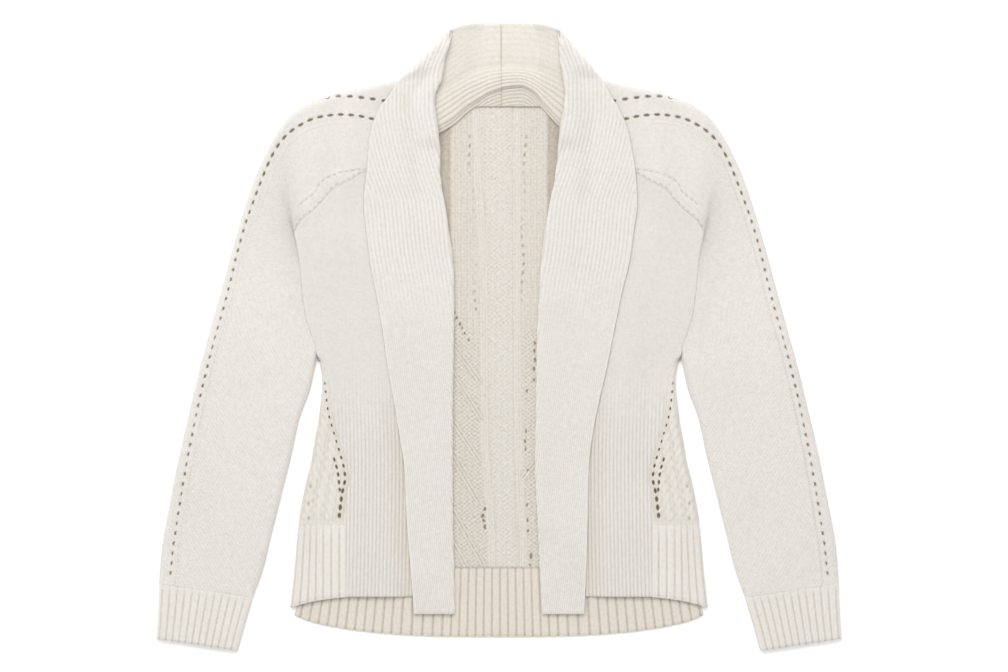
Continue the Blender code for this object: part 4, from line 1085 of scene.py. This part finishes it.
def make_front(side, word):
    """A ribbed front panel, from under the lapel to the side panel and the armhole."""
    rows = np.concatenate([[-290.5, -289.8, -288.8, -287.5], np.arange(-286, 196, 2.0)])
    rows = np.sort(np.append(rows, [SIDE_TOP_Y, SIDE_TOP_Y + 0.4]))
    share = np.concatenate([[0, 0.4, 0.8], 1 + np.linspace(0, 1, 150)])
    x = []
    for y in rows:
        edge = float(front_edge(y))
        start = float(under_edge(y, side)) + UNDER_SEAM
        shown = min(lapel_outer(y, side) - 8, edge - 12)
        even = float(front_edge(y + np.arange(-16, 17, 1.0)).mean())
        near = shown + 0.9 * (edge - shown)
        near = near + (shown + 0.9 * (even - shown) - 2 - near) * float(ease(40, 20, abs(y - SIDE_TOP_Y)))
        spread = np.interp(share, [1, 1.9, 2], [shown, near, edge])
        x.append(np.where(share < 1, start + (shown - start) * share, spread))
    x = np.array(x)
    y = np.broadcast_to(rows[:, None], x.shape)
    edge = x[:, -1:]
    outer = lapel_outer(y, side)
    curve = 2.2 * np.sin((y + 291) / 95.0)
    strong = ease(-20, -140, y)
    fine = rib((x + curve * strong) / FRONT_RIB, 2)
    bands = rib((x + curve * strong) * 2 / FRONT_RIB, 1)
    height = 0.8 * fine * strong + 0.32 * bands * (1 - strong)
    height = height * ease(0, 3, x - outer + 4) * ease(1, 4, edge - x)
    height = height + 0.35 * soft_waves(x, y, 31 + side) * ease(0, 30, x - outer) * ease(0, 20, edge - x)
    top_z = front_middle(x, y, side) + WALL / 2
    folded = rounded(read(BODY, "side", y) - x, 0, top_z)
    top_z = top_z + (folded - top_z) * ease(SIDE_TOP_Y + 5, SIDE_TOP_Y, y) * (y > SIDE_TOP_Y - 40)
    bottom_round = 1.0 * (1 - np.sqrt(np.clip(1 - (1 - np.clip((y + 290.5) / 3.0, 0, 1)) ** 2, 0, 1)))
    groove = 1 - bell(y - SIDE_TOP_Y, 9)
    z = top_z + height - 0.55 * bell(edge - x, 1.1) * groove - bottom_round
    under = ease(4, -4, x - outer)
    z = np.where(x < outer, np.minimum(z, LAYER + WALL - 0.1), z)
    top = np.stack([x, y, z], -1)
    flat = np.linspace(0, 1, 9)
    low_rows = every(12, len(rows))
    low_x = x[low_rows, :1] + (x[low_rows, -1:] - WALL * 0.8 - x[low_rows, :1]) * flat
    low_y = np.broadcast_to(rows[low_rows][:, None], low_x.shape)
    low_z = np.maximum(front_middle(low_x, low_y, side) - WALL / 2 - 1.2 * (flat > 0.9), LAYER)
    bottom = np.stack([low_x, low_y, low_z], -1)
    # Painted shade: darker in the rib valleys, with a painted shadow of the lapel beside its edge and under it
    shade = 1 - 0.15 * (1 - fine) * strong - 0.08 * (1 - bands) * (1 - strong)
    shade = shade - 0.07 * strong * ease(26, 0, x - outer) - 0.1 * under
    cloth = np.stack([x, y], -1)
    shell("front_panel_" + word, top, bottom, cloth, shade, front_knit, ["front_panel_" + word],
          side)


def make_side(side, word):
    """A side panel with four cabled ropes and a row of holes along its front seam."""
    rows = np.linspace(WRAP_TOP_Y + 0.02, SIDE_TOP_Y - 0.02, 194)
    x = []
    for y in rows:
        inner_x = float(side_seam(y)) - SEAM / 4 + 0.05
        outer_x = float(read(BODY, "side", y))
        turn = min(FOLD_REACH, 0.8 * (outer_x - inner_x))
        inset = turned(turn)
        last = outer_x - turn
        x.append(np.concatenate([np.linspace(inner_x, last, 66), outer_x - inset[::-1][1:]]))
    x = np.array(x)
    y = np.broadcast_to(rows[:, None], x.shape)
    inner_x = x[:, :1]
    outer_x = x[:, -1:]
    top_z = front_middle(x, y, side) + WALL / 2
    z = rounded(outer_x - x, 0, top_z)
    z = z - 0.55 * bell(x - inner_x, 1.1)
    inset = outer_x - x
    lift = np.zeros(x.shape)
    for k in range(ROPES):
        off = inset - ROPE_FIRST - ROPE_STEP * k
        lift = np.maximum(lift, 1.1 * rope(off, y + 5 * k, ROPE_WIDTH, ROPE_PITCH))
        lift = np.maximum(lift, 0.6 * cord(off - 6.3, 1.1))
    fade = ease(-60, -95, y) * ease(WRAP_TOP_Y + 1, WRAP_TOP_Y + 9, y)
    lift = lift * fade * ease(3, 8, x - inner_x) * ease(1.5, 4, inset)
    grid = np.stack([x, y], -1)
    along, aside, total = route_frame(grid, SIDE_HOLES)
    size = 0.48 + 0.52 * ease(60, 150, along)
    hole, rim = hole_mask(along, aside, total, SIDE_HOLE_PITCH, 3.3 * size, 1.8 * size)
    rim = rim * between(along, total, 6, 2)
    short, apart, whole = route_frame(grid, SIDE_HOLES_SHORT)
    extra = hole_mask(short, apart, whole, SIDE_HOLE_PITCH, 2.4, 1.2)[0]
    hole = np.maximum(hole * between(along, total), extra * between(short, whole))
    lift = lift * (1 - hole) - SIDE_HOLE_DEPTH * hole + 0.3 * rim
    small = np.zeros(x.shape)
    for px, py in ((687, 486), (689, 503), (689, 518)):
        away = np.hypot((x - (px - MIDDLE_PX) * PIXEL) / 1.5, (y - (MIDDLE_PY - py) * PIXEL) / 2.6)
        small = np.maximum(small, bell(away, 0.8))
    lift = lift - 1.0 * small
    top = np.stack([x, y, z + lift], -1)
    flat = np.linspace(0, 1, 6)
    picked = every(14, len(rows))
    low_x = x[picked, :1] + (x[picked, -1:] - 1.9 - x[picked, :1]) * flat
    low_y = np.broadcast_to(rows[picked][:, None], low_x.shape)
    low_z = (front_middle(low_x, low_y, side) - WALL / 2) * np.array([1, 1, 1, 1, 0.9, 0.0])
    low_z[:, 0] = LAYER
    bottom = np.stack([low_x, low_y, low_z], -1)
    # Painted light and shade: rope tops lighter, the plain cloth beyond the ropes a little lighter, holes and
    # small pits darkened
    shade = 0.9 + 0.09 * np.clip(lift / 0.8, 0, 1) * fade + 0.07 * (1 - fade) - 0.7 * hole - 0.25 * small
    cloth = np.stack([x, y], -1)
    shell("side_panel_" + word, top, bottom, cloth, shade, side_knit, ["side_panel_" + word],
          side)


def make_hem():
    """The back hem rib, seen below the fronts, and the side wraps that lie over it."""
    x = np.arange(-229, 229.1, 0.85)
    share = np.concatenate([[0, 0.008, 0.02, 0.035], np.linspace(0.05, 1, 40)])
    spacing = HEM_RIB + ease(50, 120, np.abs(x))
    ridges = wide_rib(0.5 + np.sign(x + 0.01) * np.abs(x + 3.4) / spacing)

    def line(across, part):
        place = across * np.interp(part, [0, 0.65, 1], [229, 222, 217]) / 229
        low = hem_bottom(place)
        return place, low + part * (HEM_TOP_Y - low)

    tops = []
    tones = []
    for part in share:
        place, y = line(x, part)
        tip = float(ease(0.05, 0, part))
        z = 1.5 + 1.2 * ridges - 1.3 * tip
        tops.append(np.stack([place, y + 0.9 * (1 - ridges) * tip, z], -1))
        # Painted shade in the rib valleys
        tones.append(0.69 + 0.3 * ridges)
    lows = []
    for part in (0, 0.5, 1):
        place, y = line(np.linspace(-229, 229, 30), part)
        lows.append(np.stack([place, y, np.zeros(len(place))], -1))
    top = np.array(tops)
    cloth = np.stack(np.meshgrid(x, share * 77), -1)
    shell("hem_band", top, np.array(lows), cloth, np.array(tones), back_rib_knit, ["hem_band"])
    for side, word in ((-1, "left"), (1, "right")):
        hem_side(side, word)


def hem_side(side, word):
    """The end of the hem rib that comes round the side fold and lies over the front."""
    wrap_in = float(read(BODY, "front", FRONT_HEM_Y)) - SEAM / 4 + 0.05
    fold = 234.0
    inset = turned(FOLD_REACH)
    base_x = np.concatenate([np.arange(wrap_in, fold - FOLD_REACH, 0.8), fold - inset[::-1]])
    share = np.concatenate([[0, 0.008, 0.02, 0.035], np.linspace(0.05, 1, 46)])
    ridges = wide_rib((base_x - wrap_in) / (HEM_RIB - 0.3) + 0.2)

    def line(base, part, top_y):
        low = hem_front_low(base)
        y = low + part * (top_y - low)
        edge = read(BODY, "side", y)
        return np.where(base > 200, base + (edge - fold) * (base - 200) / 34.0, base), y, edge

    tops = []
    tones = []
    lows = []
    for part in share:
        x, y, edge = line(base_x, part, WRAP_TOP_Y)
        tip = float(ease(0.05, 0, part))
        z = rounded(edge - x, 0, front_middle(x, y, side) + WALL / 2)
        lift = (1.15 * ridges - 0.5) * ease(0.3, 2.5, edge - x)
        tops.append(np.stack([x, y + 0.8 * (1 - ridges) * tip, np.maximum(z + lift - 1.2 * tip, 0)], -1))
        # Painted shade in the rib valleys, less towards the top of the band
        tones.append(1 - 0.2 * (1 - ridges) * (1 - 0.6 * float(ease(0.8, 1, part))))
    flat = np.concatenate([[wrap_in, 200.0, 222.0], fold - np.array([5.4, 4.2, 2.9, WALL])])
    for part in (0, 0.5, 1):
        x, y, edge = line(flat, part, WRAP_TOP_Y - SEAM)
        height = front_middle(x, y, side) - WALL / 2
        rise = np.sqrt(1 - (1 - np.clip((edge - WALL - x) / 3.1, 0, 1)) ** 2)
        lows.append(np.stack([x, y, WALL + 0.1 + (height - WALL - 0.1) * rise], -1))
    cloth = np.stack(np.meshgrid(base_x, share * 88), -1)
    shell("hem_side_" + word, np.array(tops), np.array(lows), cloth, np.array(tones), rib_knit,
          ["hem_band"], side)


def pressed(points, u, y):
    """The lapel's end at the collar's top, where its fold is pressed flat on the layer below."""
    low = points[u < 1, 2].max()
    share = 1 - 0.88 * float(ease(324, 341, y))
    points[:, 2] = np.where(points[:, 2] > low, low + (points[:, 2] - low) * share, points[:, 2])
    return points


def make_lapel(side, word):
    """A ribbed lapel: its under layer, the roll and the top layer."""
    surface = lapel_surface(side)
    rows = np.concatenate(
        [[-310, -309.4, -308.5, -307.2], np.arange(-305.5, 340, 1.9), [340.6, 341.4, 342.0, 342.4]]
    )
    under_and_roll = [np.linspace(0, 1, 5)[:-1], np.linspace(1, 2, 12)[:-1]]
    u = np.concatenate([*under_and_roll, 2 + np.linspace(0, 0.96, 122), [2.975, 2.99, 3.0]])
    tops = []
    tones = []
    for y in rows:
        outer = lapel_outer(y, side)
        normal = section_normal(surface, u, y)
        base = surface(u, np.full_like(u, y))
        x = base[:, 0]
        line = read(RIB_LINE, "x", y)
        phase = (x - line) / COLLAR_RIB
        strong = float(ease(-10, 95, y))
        ridges = rib(phase, 2)
        fine = rib((x - line) / 2.35, 1)
        upper = (u > 1.5) * ease(0.0, 3.0, outer - x)
        lift = (0.62 * ridges * strong + 0.4 * fine * (1 - strong)) * upper
        trough = bell(x - 98.0 - 0.1 * (y - 200), 8) * ease(130, 165, y) * ease(285, 250, y)
        lift = lift - 0.9 * trough * upper
        waves = soft_waves(x, np.full_like(x, y), 51 + side, (60, 140))
        lift = lift + 0.35 * waves * upper * ease(0, 20, outer - x)
        tip = 1.3 * (1 - np.sqrt(1 - (1 - np.clip((y + 310) / 3.0, 0, 1)) ** 2))
        point = base + normal * (WALL / 2 + lift)[:, None]
        point[:, 2] -= tip * (u > 1)
        point[:, 2] = np.maximum(point[:, 2], np.where(u < 1.2, LAYER, 0.2))
        tops.append(pressed(point, u, y))
        # Painted shade: rib valleys, the trough of the soft fold, and the under layer and roll beneath the top
        # layer
        tone = 1 - (0.1 * (1 - ridges) * strong + 0.1 * (1 - fine) * (1 - strong)) * upper - 0.03 * trough
        tones.append(tone - 0.1 * (u < 1.3))
    coarse = np.array([0, 0.5, 1, 1.33, 1.67, 2, 2.15, 2.45, 2.7, 2.9, 2.94, 2.975, 3.0])
    lows = []
    for y in rows[every(8, len(rows))]:
        point = surface(coarse, np.full_like(coarse, y)) - section_normal(surface, coarse, y) * WALL / 2
        point[:, 2] = np.maximum(point[:, 2], 0)
        lows.append(pressed(point, coarse, y))
    top = np.array(tops)
    cloth = np.stack([top[..., 0] - read(RIB_LINE, "x", rows)[:, None], top[..., 1]], -1)
    shell("lapel_" + word, top, np.array(lows), cloth, np.array(tones), lapel_knit,
          ["lapel_" + word], side)


def collar_path(station, side, start_x, lip_name, crease_name):
    """Fine middle line of the collar at one station, with the phase of its ribs and their strength."""
    neck_x = start_x + (76.0 - start_x) * station
    lip = float(read(ARCH, lip_name, neck_x))
    crease = float(read(ARCH, crease_name, neck_x))
    rise = float(read(ARCH, "rise", neck_x))
    seam_y = min(NECK_SEAM_Y, lip - 4.0)
    low = FRONT_MIDDLE
    stand = STAND_MIDDLE - 0.8 * station
    top_y = COLLAR_TOP_Y - 2.0 - 3.0 * station**3 - 5.0 * station**10
    flat = np.linspace(0, 1, 30)
    path_y = list(seam_y + (lip - 0.5 - seam_y) * flat)
    path_z = list(low + 0.3 * flat**2)
    phase = list((path_y[-1] - np.array(path_y)) / 4.0)
    force = [0.8] * len(flat)
    bump = np.linspace(0, 1, 64)[1:]
    for share in bump:
        path_y.append(lip + 0.2 + (crease - lip - 0.2) * share)
        hump = np.sin(np.pi * min(1.0, 0.2 + 0.8 * share)) ** 0.8
        path_z.append(low + (stand - low) * share + (rise + 0.6) * hump * ease(-0.05, 0.12, share))
        phase.append(share * 7.0 + 0.5)
        force.append(0.25 + 0.6 * float(ease(1.0, 0.5, share)))
    radius = stand / 2 - WALL / 4
    reach = top_y - radius - crease
    for share in np.linspace(0, 1, 66)[1:]:
        path_y.append(crease + reach * share)
        path_z.append(stand)
        phase.append(7.5 + share * reach / 6.7)
        force.append(0.22)
    half = (stand - BACK_MIDDLE) / 2
    for angle in np.linspace(0, np.pi, 14)[1:]:
        path_y.append(top_y - radius + half * np.sin(angle))
        path_z.append(BACK_MIDDLE + half * (1 + np.cos(angle)))
        phase.append(7.5 + reach / 6.7 + 0.5 + angle)
        force.append(0.3 * float(ease(2.6, 0.0, angle)))
    path_y.append(top_y - radius - FALL_LENGTH)
    path_z.append(BACK_MIDDLE)
    phase.append(0.5)
    force.append(0.0)
    y = np.array(path_y)
    corner = ease(334, 343, y)
    limit = lapel_outer(y, side) - 5.0 + 4.5 * corner
    reach_x = np.minimum(lapel_roll(y, side) + 5.0 + 9.0 * corner, np.where(y > 289, limit, 200))
    x = start_x + (reach_x - start_x) * station
    return np.stack([x, y, np.array(path_z)], -1), np.array(phase), np.array(force)


def moved_path(path, offset):
    """A collar section moved out from its middle line by an offset for each point."""
    along = np.gradient(path[:, 1:], axis=0)
    normal = np.stack([-along[:, 1], along[:, 0]], -1)
    normal /= np.linalg.norm(normal, axis=-1, keepdims=True)
    moved = path.copy()
    moved[:, 1:] += normal * offset[:, None]
    return moved


def make_collar(side, word):
    """Half of the collar behind the neck: the fold, the stand and the fall behind it."""
    start_x = side * COLLAR_SEAM_X + SEAM / 2
    names = ("lip_right", "crease_right") if side == 1 else ("lip_left", "crease_left")
    stations = np.concatenate([[0, 0.006, 0.014, 0.025], np.linspace(0.04, 1, 78)])
    tops = []
    tones = []
    clothes = []
    bases = []
    for station in stations:
        path, phase, force = collar_path(station, side, start_x, *names)
        ridges = rib(phase, 2)
        groove = 0.5 * float(ease(0.035, 0, station))
        lift = 0.85 * ridges * force - groove
        tops.append(moved_path(path, WALL / 2 + lift))
        bases.append(path)
        neck_x = start_x + (76.0 - start_x) * station
        crease = float(read(ARCH, names[1], neck_x))
        lip = float(read(ARCH, names[0], neck_x))
        # Painted shade: along the centre seam, a shadow band above the crease, a shadow under the fold's lip,
        # and the rib valleys
        centre_seam_shade = (0.03 + 0.1 * ease(crease, crease + 8, path[:, 1])) * float(ease(0.03, 0, station))
        crease_shadow = 0.055 * bell(path[:, 1] - crease - 3, 8.0) * (0.6 + 0.4 * float(ease(0.3, 0.9, station)))
        lip_shadow = 0.09 * ease(lip + 3, lip - 1, path[:, 1])
        tones.append(1 - 0.2 * (1 - ridges) * force - centre_seam_shade - crease_shadow - lip_shadow)
        run = np.concatenate([[0], np.cumsum(np.hypot(np.diff(path[:, 1]), np.diff(path[:, 2])))])
        clothes.append(np.stack([run, path[:, 0]], -1))
    picked = every(6, len(bases[0]))
    lows = []
    for station in np.linspace(0, 1, 8):
        path = collar_path(station, side, start_x, *names)[0]
        under = moved_path(path, np.full(len(path), -WALL / 2))
        lows.append(under[picked])
    top = np.array(tops)
    top[..., 2] = np.maximum(top[..., 2], 0)
    bottom = np.array(lows)
    bottom[..., 2] = np.maximum(bottom[..., 2], 0)
    shell("collar_" + word, top, bottom, np.array(clothes), np.array(tones), stand_knit,
          ["collar_" + word], side)


def make_floor():
    """The pale sheet that the cardigan lies on."""
    data = bpy.data.meshes.new("floor")
    half = FLOOR_HALF
    corners = [(-half, -half, 0), (half, -half, 0), (half, half, 0), (-half, half, 0)]
    data.from_pydata(corners, [], [(0, 1, 2, 3)])
    material = bpy.data.materials.new("pale_floor")
    material.use_nodes = True
    shader = material.node_tree.nodes["Principled BSDF"]
    shader.inputs["Base Color"].default_value = (0.97, 0.97, 0.97, 1)
    shader.inputs["Roughness"].default_value = 0.9
    shader.inputs["Specular IOR Level"].default_value = 0.1
    shader.inputs["Emission Color"].default_value = (1, 1, 1, 1)
    shader.inputs["Emission Strength"].default_value = 0.12
    data.materials.append(material)
    floor = bpy.data.objects.new("floor", data)
    floor.location = (0, 0, -0.0005)
    bpy.context.scene.collection.objects.link(floor)


def make_light():
    """An even white surround and a soft box above and behind the collar."""
    world = bpy.data.worlds.new("studio")
    world.use_nodes = True
    back = world.node_tree.nodes["Background"]
    back.inputs["Color"].default_value = (1, 1, 1, 1)
    back.inputs["Strength"].default_value = SKY_STRENGTH
    bpy.context.scene.world = world
    lamp = bpy.data.lights.new("soft_box", "AREA")
    lamp.shape = "RECTANGLE"
    lamp.size, lamp.size_y = SOFT_BOX_SIZE
    lamp.energy = SOFT_BOX_WATTS
    box = bpy.data.objects.new("soft_box", lamp)
    box.location = SOFT_BOX_PLACE
    box.rotation_euler = SOFT_BOX_TURN
    bpy.context.scene.collection.objects.link(box)


def make_camera():
    """The photograph's camera: straight above, with a long lens."""
    lens = bpy.data.cameras.new("camera")
    lens.lens = CAMERA_LENS
    lens.sensor_width = CAMERA_SENSOR
    camera = bpy.data.objects.new("camera", lens)
    camera.location = CAMERA_PLACE
    bpy.context.scene.collection.objects.link(camera)
    bpy.context.scene.camera = camera
    bpy.context.scene.view_settings.view_transform = "Standard"


make_back()
make_hem()
for side, word in ((-1, "left"), (1, "right")):
    make_sleeve(side, word)
    make_cuff(side, word)
    make_side(side, word)
    make_front(side, word)
    make_lapel(side, word)
    make_collar(side, word)
make_floor()
make_light()
make_camera()
